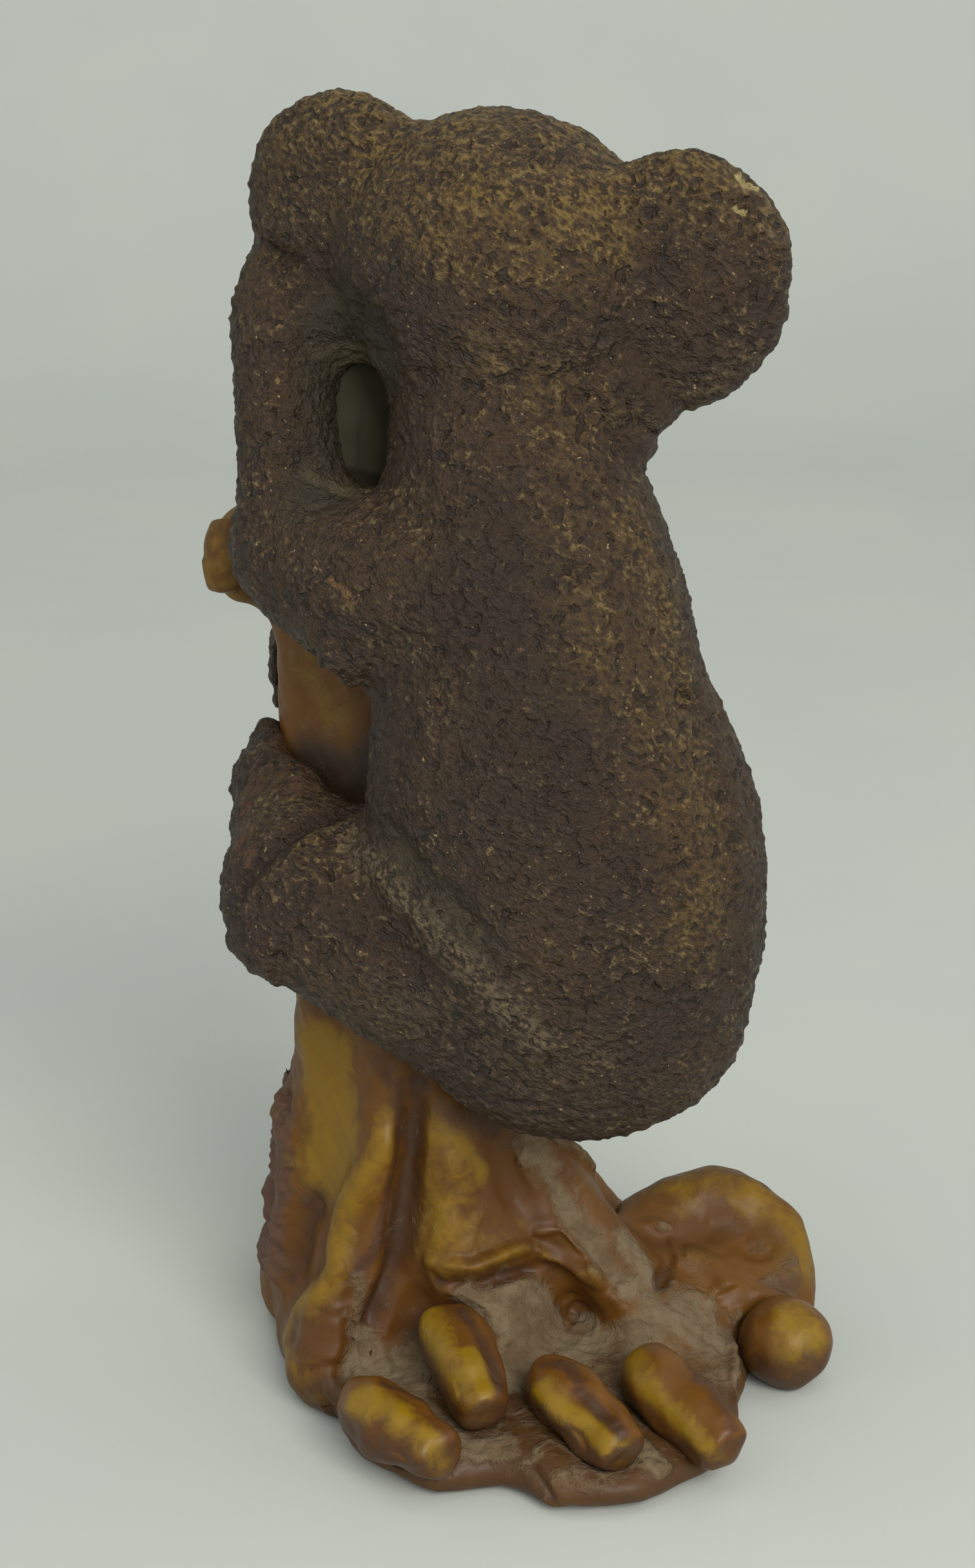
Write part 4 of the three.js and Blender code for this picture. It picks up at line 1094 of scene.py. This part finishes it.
@dataclass(frozen=True)
class FurFinish:
    """Dark brown painted fur with gold dry-brushed on its raised tufts, under a satin varnish; painted shade
    darkens its creases and hollow, painted light brightens its lit flank, upward faces and undersides, and
    painted glints fleck it.
    """

    pit_and_painted_shade: str = "251b13"
    coat: str = "302218"
    warm: str = "3b2a18"
    tip: str = "7f6c45"
    painted_glint: str = "947f54"
    gold: str = "6c5626"
    ash_and_painted_light: str = "65573f"
    olive_painted_shade: str = "312c20"
    moss_painted_shade: str = "75694a"
    chip: str = "5e4726"
    cream: str = "958659"
    rust: str = "4b3321"
    scuff: str = "8f8a80"

    def material(self) -> bpy.types.Material:
        """Builds the material.

        Returns:
            The new material.
        """
        paint = Paint("koala_fur")
        gilt_and_painted_light = paint.tint("gilt_and_painted_light")
        dents = paint.fit(paint.noise(800, 2, 0.5, 0.4), 0.42, 0.32, 0.0, 0.25)
        tufts = paint.noise(1700, 4, 0.62, lie=(0.0, 0.6, 0.0), long=(1.4, 1.0, 0.9))
        height = paint.math("SUBTRACT", tufts, dents)
        coat = paint.mix(paint.fit(paint.noise(80, 4, 0.6), 0.35, 0.65), self.coat, self.warm)
        coat = paint.mix(paint.fit(height, 0.47, 0.36, 0.0, 0.85), coat, self.pit_and_painted_shade)
        spread = paint.math("ADD", paint.math("MULTIPLY", gilt_and_painted_light, 0.22), paint.noise(350, 4, 0.65))
        raised = paint.fit(height, 0.53, 0.63, 0.0, 0.65)
        flecks = paint.math("MULTIPLY", raised, paint.fit(spread, 0.48, 0.68))
        coat = paint.mix(flecks, coat, self.tip)
        # painted highlight: sparse bright specks stand in for the varnish's glints
        coat = paint.mix(paint.fit(paint.noise(2300, 2, 0.5), 0.69, 0.77), coat, self.painted_glint)
        worn = paint.fit(height, 0.4, 0.6, 0.1, 1.0)
        patchy = paint.fit(paint.noise(170, 3, 0.6), 0.38, 0.62, 0.5, 1.0)
        # gold dry-brushed on the crown, the nape and the dusted edges, and painted light on the lit right
        # flank and on upward faces
        coat = paint.mix(paint.math("MULTIPLY", paint.math("MULTIPLY", gilt_and_painted_light, patchy), worn), coat, self.gold)
        # pale ash on the dusted edges, the ear's rim and the rump, and painted light on faces that look down
        coat = paint.mix(paint.math("MULTIPLY", paint.tint("ash_and_painted_light"), worn), coat, self.ash_and_painted_light)
        # painted shade: the shade strokes darken creases, notches, the neck, the rump's bottom and the
        # back's middle
        coat = paint.mix(paint.tint("shade"), coat, self.pit_and_painted_shade)
        # painted shade: dark olive in the hollow beside the neck and in the thigh crease, paler where the
        # recess is deep
        coat = paint.mix(paint.tint("olive_painted_shade"), coat, paint.mix(paint.tint("deep"), self.olive_painted_shade, self.moss_painted_shade))
        ragged = paint.fit(paint.noise(1000, 3), 0.3, 0.7, -0.3, 0.3)
        for name in ("rust", "chip", "cream", "scuff"):
            bare = paint.math("ADD", paint.tint(name), ragged)
            coat = paint.mix(paint.fit(bare, 0.3, 0.7), coat, getattr(self, name))
        paint.feed("Base Color", coat)
        paint.feed("Roughness", paint.fit(paint.noise(420), 0.3, 0.7, 0.4, 0.55))
        paint.feed("Specular IOR Level", 0.32)
        fine = paint.bump(paint.noise(2600, 4, 0.6), 0.25, 0.0003)
        paint.feed("Normal", paint.bump(height, 1.0, 0.0008, fine))
        return paint.material


@dataclass(frozen=True)
class AmberFinish:
    """Honey-coloured resin with a red-brown wash in its recesses and dust near the ground; painted
    highlights brighten raised and lit parts, and painted shade darkens overhangs, shaded sides and the trunk
    in the koala's hollow.
    """

    name: str = "amber_resin"
    honey: str = "77590d"
    amber: str = "613e0e"
    tan: str = "53330f"
    russet: str = "432a18"
    umber: str = "3c2c1e"
    dust: str = "74654d"
    silt: str = "604e37"
    # painted shade: dark olive of the hollow beside the neck, and dark brown of shaded fur on the trunk
    painted_hollow_shade: str = "373325"
    fur: str = "33261a"
    crust: str = "52392a"
    gloss: float = 0.48
    shine: float = 0.25

    def material(self) -> bpy.types.Material:
        """Builds the material.

        Returns:
            The new material.
        """
        paint = Paint(self.name)
        fine = paint.fit(paint.noise(480, 4, 0.65, 0.8), 0.3, 0.7, -0.2, 0.2)
        ragged = paint.math("ADD", fine, paint.fit(paint.noise(130, 3, 0.6, 0.5), 0.3, 0.7, -0.2, 0.2))
        body = paint.mix(paint.fit(paint.noise(60, 3, 0.6, 0.6), 0.36, 0.62), self.tan, self.amber)
        crusty = paint.math("ADD", paint.tint("crust"), ragged)
        body = paint.mix(paint.fit(crusty, 0.2, 0.8), body, self.crust)
        # bare honey resin on worn panels, and painted highlights on raised and lit parts
        bare_resin_and_painted_highlight = paint.math("ADD", paint.tint("bare_resin_and_painted_highlight"), ragged)
        body = paint.mix(paint.fit(bare_resin_and_painted_highlight, 0.05, 0.3, 0.0, 0.3), body, self.russet)
        body = paint.mix(paint.fit(bare_resin_and_painted_highlight, 0.1, 0.95), body, self.honey)
        # russet wash in recesses and grooves, and painted shade under the apron lip and the thigh, between
        # the lobe and the nut, and on the bud's shaded side
        wash_and_painted_shade = paint.math("ADD", paint.math("MAXIMUM", paint.tint("recess_and_painted_shade"), paint.tint("wash_and_painted_shade")), ragged)
        body = paint.mix(paint.fit(wash_and_painted_shade, 0.15, 0.85, 0.0, 0.9), body, self.russet)
        body = paint.mix(paint.fit(wash_and_painted_shade, 0.7, 1.3, 0.0, 0.9), body, self.umber)
        dusty = paint.fit(paint.math("ADD", paint.tint("dust"), ragged), 0.15, 0.85)
        dust = paint.mix(paint.fit(paint.noise(280, 4, 0.6), 0.35, 0.65), self.silt, self.dust)
        body = paint.mix(dusty, body, dust)
        # painted shade: the trunk in the hollow and between the foot and the thigh is painted dark
        for name in ("painted_hollow_shade", "fur"):
            body = paint.mix(paint.tint(name), body, getattr(self, name))
        paint.feed("Base Color", body)
        rough = paint.fit(paint.noise(300), 0.3, 0.7, self.gloss - 0.06, self.gloss + 0.1)
        dull = paint.math("MAXIMUM", dusty, paint.tint("painted_hollow_shade"))
        paint.feed("Roughness", paint.math("ADD", paint.math("MULTIPLY", dull, 0.4), rough))
        paint.feed("Specular IOR Level", self.shine)
        paint.feed("Subsurface Weight", 0.12)
        paint.feed("Subsurface Radius", (1.0, 0.45, 0.15))
        paint.feed("Subsurface Scale", 0.002)
        grit = paint.bump(paint.math("MULTIPLY", paint.noise(950, 5, 0.65), dusty), 1.0, 0.0006)
        paint.feed("Normal", paint.bump(paint.noise(1800, 4, 0.6), 0.15, 0.0002, grit))
        return paint.material


@dataclass(frozen=True)
class BeadFinish:
    """Dark glossy paint of the nose and eyes."""

    deep: str = "1a1411"
    soft: str = "2a201a"

    def material(self) -> bpy.types.Material:
        """Builds the material.

        Returns:
            The new material.
        """
        paint = Paint("bead_gloss")
        paint.feed("Base Color", paint.mix(paint.fit(paint.noise(300), 0.4, 0.6), self.deep, self.soft))
        paint.feed("Roughness", paint.fit(paint.noise(900), 0.3, 0.7, 0.26, 0.4))
        paint.feed("Specular IOR Level", 0.3)
        paint.feed("Normal", paint.bump(paint.noise(1500), 0.1, 0.0002))
        return paint.material


class ReliefTree:
    """Geometry nodes that raise a skin along its normals by its brush strokes and by a fine grain."""

    DEPTHS = ("Stroke depth", "Grain depth", "Grain scale", "Seed")
    GRAIN_DETAIL = 3.0

    def __init__(self, name: str) -> None:
        """Builds the tree with named inputs.

        Args:
            name: The tree's name.
        """
        self.tree = bpy.data.node_groups.new(name, "GeometryNodeTree")
        face = self.tree.interface
        face.new_socket("Geometry", in_out="INPUT", socket_type="NodeSocketGeometry")
        kinds = {**dict.fromkeys(self.DEPTHS, "NodeSocketFloat"), "Material": "NodeSocketMaterial"}
        self.sockets = {
            key: face.new_socket(key, in_out="INPUT", socket_type=kind) for key, kind in kinds.items()
        }
        face.new_socket("Geometry", in_out="OUTPUT", socket_type="NodeSocketGeometry")
        self._wire()

    def _wire(self) -> None:
        """Lays out the nodes and their links."""
        given = self.tree.nodes.new("NodeGroupInput").outputs
        strokes = self._add("GeometryNodeInputNamedAttribute", {"Name": "strokes"}, data_type="FLOAT")
        grain = self._add("ShaderNodeTexNoise", {
            "Scale": given["Grain scale"], "W": given["Seed"], "Detail": self.GRAIN_DETAIL,
        }, noise_dimensions="4D")
        level = self._math("SUBTRACT", grain.outputs["Fac"], 0.5)
        fine = self._math("MULTIPLY", level, given["Grain depth"])
        tall = self._math("MULTIPLY", strokes.outputs["Attribute"], given["Stroke depth"])
        normal = self._add("GeometryNodeInputNormal", {}).outputs["Normal"]
        away = self._add("ShaderNodeVectorMath", {
            0: normal, "Scale": self._math("ADD", fine, tall),
        }, operation="SCALE")
        move = self._add("GeometryNodeSetPosition", {
            "Geometry": given["Geometry"], "Offset": away.outputs["Vector"],
        })
        real = self._add("GeometryNodeRealizeInstances", {"Geometry": move.outputs["Geometry"]})
        dress = self._add("GeometryNodeSetMaterial", {
            "Geometry": real.outputs["Geometry"], "Material": given["Material"],
        })
        self._add("NodeGroupOutput", {"Geometry": dress.outputs["Geometry"]})

    def _add(self, kind: str, inputs: dict, **settings: str) -> bpy.types.Node:
        """Adds a node to the tree."""
        return add_node(self.tree, kind, inputs, **settings)

    def _math(self, kind: str, first: Source, second: Source) -> Socket:
        """Combines two sockets or numbers."""
        return self._add("ShaderNodeMath", {0: first, 1: second}, operation=kind).outputs["Value"]

    def raise_skin(self, clay: Clay, material: bpy.types.Material, **sizes: float) -> None:
        """Raises a skin in place.

        Args:
            clay: The skin, with its strokes as a tint.
            material: The finish that the tree sets.
            **sizes: Values of the tree's inputs, with _ for a blank.
        """
        body = linked(clay.mesh("relief"))
        nodes = body.modifiers.new("relief", "NODES")
        nodes.node_group = self.tree
        for key, value in sizes.items():
            nodes[self.sockets[key.replace("_", " ").capitalize()].identifier] = value
        nodes[self.sockets["Material"].identifier] = material
        raised = finished(body)
        clay.points = mesh_points(raised)
        bpy.data.meshes.remove(raised)


@dataclass
class Koala:
    """The koala: one furry skin cut into its castings, and the beads of its face.

    Attributes:
        voxel: Size of the skin's quads, in millimetres.
        swell: How far the solids are puffed up first, so that glue gaps close.
        soften: How many times the skin is relaxed.
        cap_depth: How far the hidden caps lie under the skin.
        stroke_depth: Height of the brush strokes.
        grain_depth: Height of the fur's grain.
        grain_scale: Waves of the grain in a millimetre.
        grain_seed: Fixed seed of the grain.
        lay: Direction in which the fur lies.
        wander: How far the fur strays from it.
        lump_depth: Height of the fur's lumps.
        web: Path of the web of fur under the right ear.
        web_reach: How far from its path the web is whole, and where it ends.
        web_pulls: How many pulls raise the web.
        web_lift: How far each of them raises it.
        crown: Heights between which the crown turns gold.
        bead_voxel: Size of the quads of the nose and eyes.
        finish: The fur's finish.
        paws: Solids whose digits stay crisp.
    """

    voxel: float = 0.565
    swell: float = 0.4
    soften: int = 18
    cap_depth: float = 2.5
    stroke_depth: float = 0.02
    grain_depth: float = 1.2
    grain_scale: float = 0.9
    grain_seed: float = 3.0
    lay: Triple = (1.0, 0.0, -0.55)
    wander: float = 0.8
    lump_depth: float = 0.1
    web: tuple[Triple, ...] = ((4.6, -8.4, 101.8), (5.7, -7.7, 101.0), (7.0, -7.0, 98.5))
    web_reach: tuple[float, float] = (2.0, 5.0)
    web_pulls: int = 3
    web_lift: float = 0.8
    crown: tuple[float, float] = (109.0, 119.0)
    bead_voxel: float = 0.35
    finish: FurFinish = field(default_factory=FurFinish)
    paws: tuple[str, ...] = ("hand_left", "hand_right", "lower_leg_left", "lower_leg_right")

    def build(self) -> None:
        """Builds and dresses every piece of the koala."""
        cutter = Cutter(KOALA_SKIN)
        clay = self.shape(cutter)
        material = self.finish.material()
        self.comb(clay)
        ReliefTree("fur_relief").raise_skin(
            clay, material, stroke_depth=self.stroke_depth, grain_depth=self.grain_depth,
            grain_scale=self.grain_scale, seed=self.grain_seed,
        )
        for name, piece in cutter.cut(clay, self.cap_depth).items():
            settle(piece, name, material)
        self.beads()

    def shape(self, cutter: Cutter) -> Clay:
        """Fuses and softens the skin.

        Args:
            cutter: Search of the nearest solid.

        Returns:
            The smooth skin.
        """
        clay = Clay.fuse(KOALA_SKIN, self.voxel, self.swell)
        paw = cutter.share(clay, self.paws, passes=6)
        clay.smooth(passes=3)
        clay.smooth(self.soften, amount=0.7 * (1 - 0.7 * paw))
        clay = clay.subdivided()
        clay.pull(KOALA_STROKES, Caster(KOALA_SKIN, WHOLE_VIEW))
        clay.smooth(passes=3, amount=0.5)
        gap, _ = polyline_distance(clay.points, np.array(self.web))
        near = 1 - smoothstep(*self.web_reach, gap)
        for _ in range(self.web_pulls):
            clay.lift(near * self.web_lift, clay.normals())
            clay.smooth(passes=10, amount=0.7 * near)
        return clay

    def comb(self, clay: Clay) -> None:
        """Lays the fur's strokes and tints on the skin.

        Args:
            clay: The smooth skin.
        """
        normals = clay.normals()
        waves = [hills(clay.points, wave=5.0, seed=seed, octaves=2) for seed in (11, 12, 13)]
        stray = np.stack(waves, axis=1)
        flow = np.array(self.lay) + stray * self.wander
        flow -= normals * (flow * normals).sum(axis=1, keepdims=True)
        flow /= lengths(flow)
        clay.tints["strokes"] = clay.brushed(flow, seed=5, passes=3, keen=4.0)
        clay.lift(hills(clay.points, wave=7.0, seed=21) * self.lump_depth, normals)
        up = np.clip(normals[:, 2], 0, 1)
        high = smoothstep(*self.crown, clay.points[:, 2])
        # painted light: upward faces get more gold, on top of the gold of the crown
        clay.tinge("gilt_and_painted_light", 0.2 * up + 0.7 * high * (0.3 + 0.7 * up))
        # how deep each point lies in a recess; the deeper parts of the painted shade are paler
        clay.tints["deep"] = smoothstep(0.1, 0.8, -clay.bulge(passes=60))
        # painted light: paler paint on faces that look down, against the shade under the rump and the limbs
        clay.tinge("ash_and_painted_light", 0.25 * smoothstep(0.0, 0.7, -normals[:, 2]))

    def beads(self) -> None:
        """Builds the nose and the eyes."""
        material = BeadFinish().material()
        for name in FACE_BEADS:
            clay = Clay.fuse((name,), self.bead_voxel, swell=0.05)
            clay.smooth(passes=8)
            piece = closed_piece(name, clay, clay.quads, clay.normals())
            settle(piece, name, material)


@dataclass
class Stump:
    """The stump: trunk, roots, burl and ground as one skin, and the gumnuts that lie on it.

    Attributes:
        voxel: Size of the skin's quads, in millimetres.
        swell: How far the solids are puffed up first, so that glue gaps close.
        soften: How many times the skin is relaxed.
        cap_depth: How far the hidden caps lie under the skin.
        lump_depth: Height of the lumps.
        crust_depth: Height of the bark's crust.
        grit_depth: Height of the grit in the dust.
        dust_heights: Heights between which the ground's dust fades out.
        nut_voxel: Size of the gumnuts' quads.
        nut_lumps: Height of the gumnuts' lumps.
        bud_lumps: Height of the bud's lumps.
    """

    voxel: float = 0.63
    swell: float = 1.0
    soften: int = 24
    cap_depth: float = 6.0
    lump_depth: float = 0.25
    crust_depth: float = 0.6
    grit_depth: float = 0.18
    dust_heights: tuple[float, float] = (6.0, 13.0)
    nut_voxel: float = 0.4
    nut_lumps: float = 0.35
    bud_lumps: float = 0.15

    def build(self) -> None:
        """Builds and dresses every piece of the stump."""
        nodes = tuple(STUMP_SKIN)
        cutter = Cutter(nodes)
        clay = Clay.fuse(nodes, self.voxel, self.swell)
        clay.smooth(self.soften)
        clay.points -= clay.normals() * self.swell
        clay.smooth(passes=2, amount=0.5)
        clay = clay.subdivided()
        clay.pull(STUMP_STROKES, Caster(nodes, LOWER_VIEW))
        clay.pull(TRUNK_STROKES, Caster(("trunk", "branch_stub"), WHOLE_VIEW))
        self.weather(clay, cutter)
        clay.points[:, 2] = np.maximum(clay.points[:, 2], 0)
        finishes = {
            Slot.AMBER: AmberFinish().material(),
            Slot.GROUND: AmberFinish(name="ground_resin", amber="53391a", tan="49311a").material(),
            Slot.BARK: AmberFinish(name="bark_resin").material(),
        }
        for name, piece in cutter.cut(clay, self.cap_depth).items():
            settle(piece, name, finishes[STUMP_SKIN[name]])
        self.gumnuts()

    def weather(self, clay: Clay, cutter: Cutter) -> None:
        """Lays lumps, the rough bark, the wash in recesses, painted highlights on raised parts and the dust
        near the ground.

        Args:
            clay: The sculpted skin.
            cutter: Search of the nearest solid.
        """
        normals = clay.normals()
        rough = cutter.share(clay, ("bark_slab",), passes=12)
        clay.tints["crust"] = rough
        crust = hills(clay.points, wave=4.0, seed=33) * self.crust_depth
        lumps = hills(clay.points, wave=9.0, seed=31) * self.lump_depth
        clay.lift(lumps + rough * crust, normals)
        low = clay.bulge(passes=40)
        clay.tints["recess_and_painted_shade"] = smoothstep(0.05, 0.9, -low)
        # raised parts turn honey: partly bare resin, partly painted highlight
        clay.tinge("bare_resin_and_painted_highlight", 0.55 * smoothstep(0.1, 0.9, low) * (1 - rough))
        ground = 1 - smoothstep(*self.dust_heights, clay.points[:, 2])
        up = smoothstep(0.25, 0.8, normals[:, 2])
        clay.tinge("dust", 0.65 * ground * up * smoothstep(-0.5, 0.4, -low))
        grit = hills(clay.points, wave=1.8, seed=35, octaves=2) * self.grit_depth
        clay.lift(grit * clay.tints["dust"], normals)

    def gumnuts(self) -> None:
        """Builds the gumnuts and the bud."""
        tones = {"honey": "7d600e", "amber": "643f0e", "tan": "53320e"}
        material = AmberFinish("gumnut_resin", gloss=0.4, shine=0.28, **tones).material()
        caster = Caster(GUMNUTS, LOWER_VIEW)
        for i, name in enumerate(GUMNUTS):
            clay = Clay.fuse((name,), self.nut_voxel, swell=0.2)
            clay.smooth(passes=16, amount=0.5)
            clay = clay.subdivided()
            marks = ("bare_resin_and_painted_highlight", "wash_and_painted_shade", "dust", "painted_hollow_shade", "fur", "crust")
            clay.tints = {mark: np.zeros(len(clay.points)) for mark in marks}
            clay.pull(NUT_STROKES, caster)
            normals = clay.normals()
            tall = self.bud_lumps if name == "gum_bud" else self.nut_lumps
            clay.lift(hills(clay.points, wave=6.0, seed=40 + i, octaves=2) * tall, normals)
            # painted shade: darker russet on the nuts' sides and undersides, where they meet the ground
            clay.tints["recess_and_painted_shade"] = 0.75 * (1 - smoothstep(-0.2, 0.55, normals[:, 2]))
            clay.points[:, 2] = np.maximum(clay.points[:, 2], 0)
            settle(closed_piece(name, clay, clay.quads, clay.normals()), name, material)


@dataclass
class Studio:
    """Pale floor, soft light and the camera.

    Attributes:
        cloth: Colour of the floor.
        pale: Colour of its paler patches.
        sky: Colour of the sky's light.
        sky_level: Strength of that light.
        lamp_side: Width and height of the lamp, in metres.
        lamp_power: Its power, in watts.
        lamp_tone: Its colour.
        lamp_place: Where it hangs.
        lamp_aim: What it points at.
    """

    cloth: str = "b7bcb6"
    pale: str = "bbbfb7"
    sky: tuple[float, ...] = (0.98, 1.0, 1.0, 1.0)
    sky_level: float = 0.85
    lamp_side: float = 0.5
    lamp_power: float = 7.5
    lamp_tone: Triple = (1.0, 0.98, 0.95)
    lamp_place: Triple = (0.3, -0.75, 0.55)
    lamp_aim: Triple = (0.0, 0.0, 0.05)

    def build(self) -> None:
        """Builds the floor, the lamps and the camera."""
        self.floor()
        self.light()
        view = bpy.data.cameras.new("camera")
        view.lens = PHOTO.lens
        view.sensor_width = PHOTO.film
        view.clip_start, view.clip_end = 0.01, 20.0
        camera = linked(view)
        camera.location = PHOTO.eye
        camera.rotation_euler = (math.radians(90 - PHOTO.down), 0, 0)
        bpy.context.scene.camera = camera

    def floor(self) -> None:
        """A plain floor that sweeps up far behind."""
        front, back, top = -1.6, 0.45, 1.8
        wide, bend, count = 2.0, 0.35, 14
        turns = [math.radians(angle) for angle in np.linspace(0, 90, count)]
        sweep = [(back + bend * math.sin(turn), bend * (1 - math.cos(turn))) for turn in turns]
        rows = [(front, 0.0), *sweep, (back + bend, top)]
        spots = [(x, y, z) for y, z in rows for x in (-wide, wide)]
        faces = [(2 * i, 2 * i + 1, 2 * i + 3, 2 * i + 2) for i in range(len(rows) - 1)]
        mesh = bpy.data.meshes.new("floor")
        mesh.from_pydata(spots, [], faces)
        mesh.shade_smooth()
        paint = Paint("floor_cloth")
        paint.feed("Base Color", paint.mix(paint.fit(paint.noise(14, 4), 0.3, 0.7), self.cloth, self.pale))
        paint.feed("Roughness", 0.9)
        paint.feed("Specular IOR Level", 0.2)
        mesh.materials.append(paint.material)
        floor = linked(mesh)

    def light(self) -> None:
        """A soft sky and one large lamp above."""
        world = bpy.data.worlds.new("sky")
        world.use_nodes = True
        bpy.context.scene.world = world
        background = world.node_tree.nodes["Background"]
        background.inputs["Color"].default_value = self.sky
        background.inputs["Strength"].default_value = self.sky_level
        lamp = bpy.data.lights.new("window", "AREA")
        lamp.shape = "RECTANGLE"
        lamp.size = lamp.size_y = self.lamp_side
        lamp.energy = self.lamp_power
        lamp.color = self.lamp_tone
        holder = linked(lamp)
        holder.location = self.lamp_place
        aim = Vector(self.lamp_aim) - Vector(self.lamp_place)
        holder.rotation_euler = aim.to_track_quat("-Z", "Y").to_euler()


def main() -> None:
    """Builds the scene in order."""
    logging.basicConfig(level=logging.INFO, format="%(name)s %(message)s")
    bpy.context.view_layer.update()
    bpy.context.scene.view_settings.view_transform = "Standard"
    Studio().build()
    Koala().build()
    Stump().build()


if __name__ == "__main__":
    main()
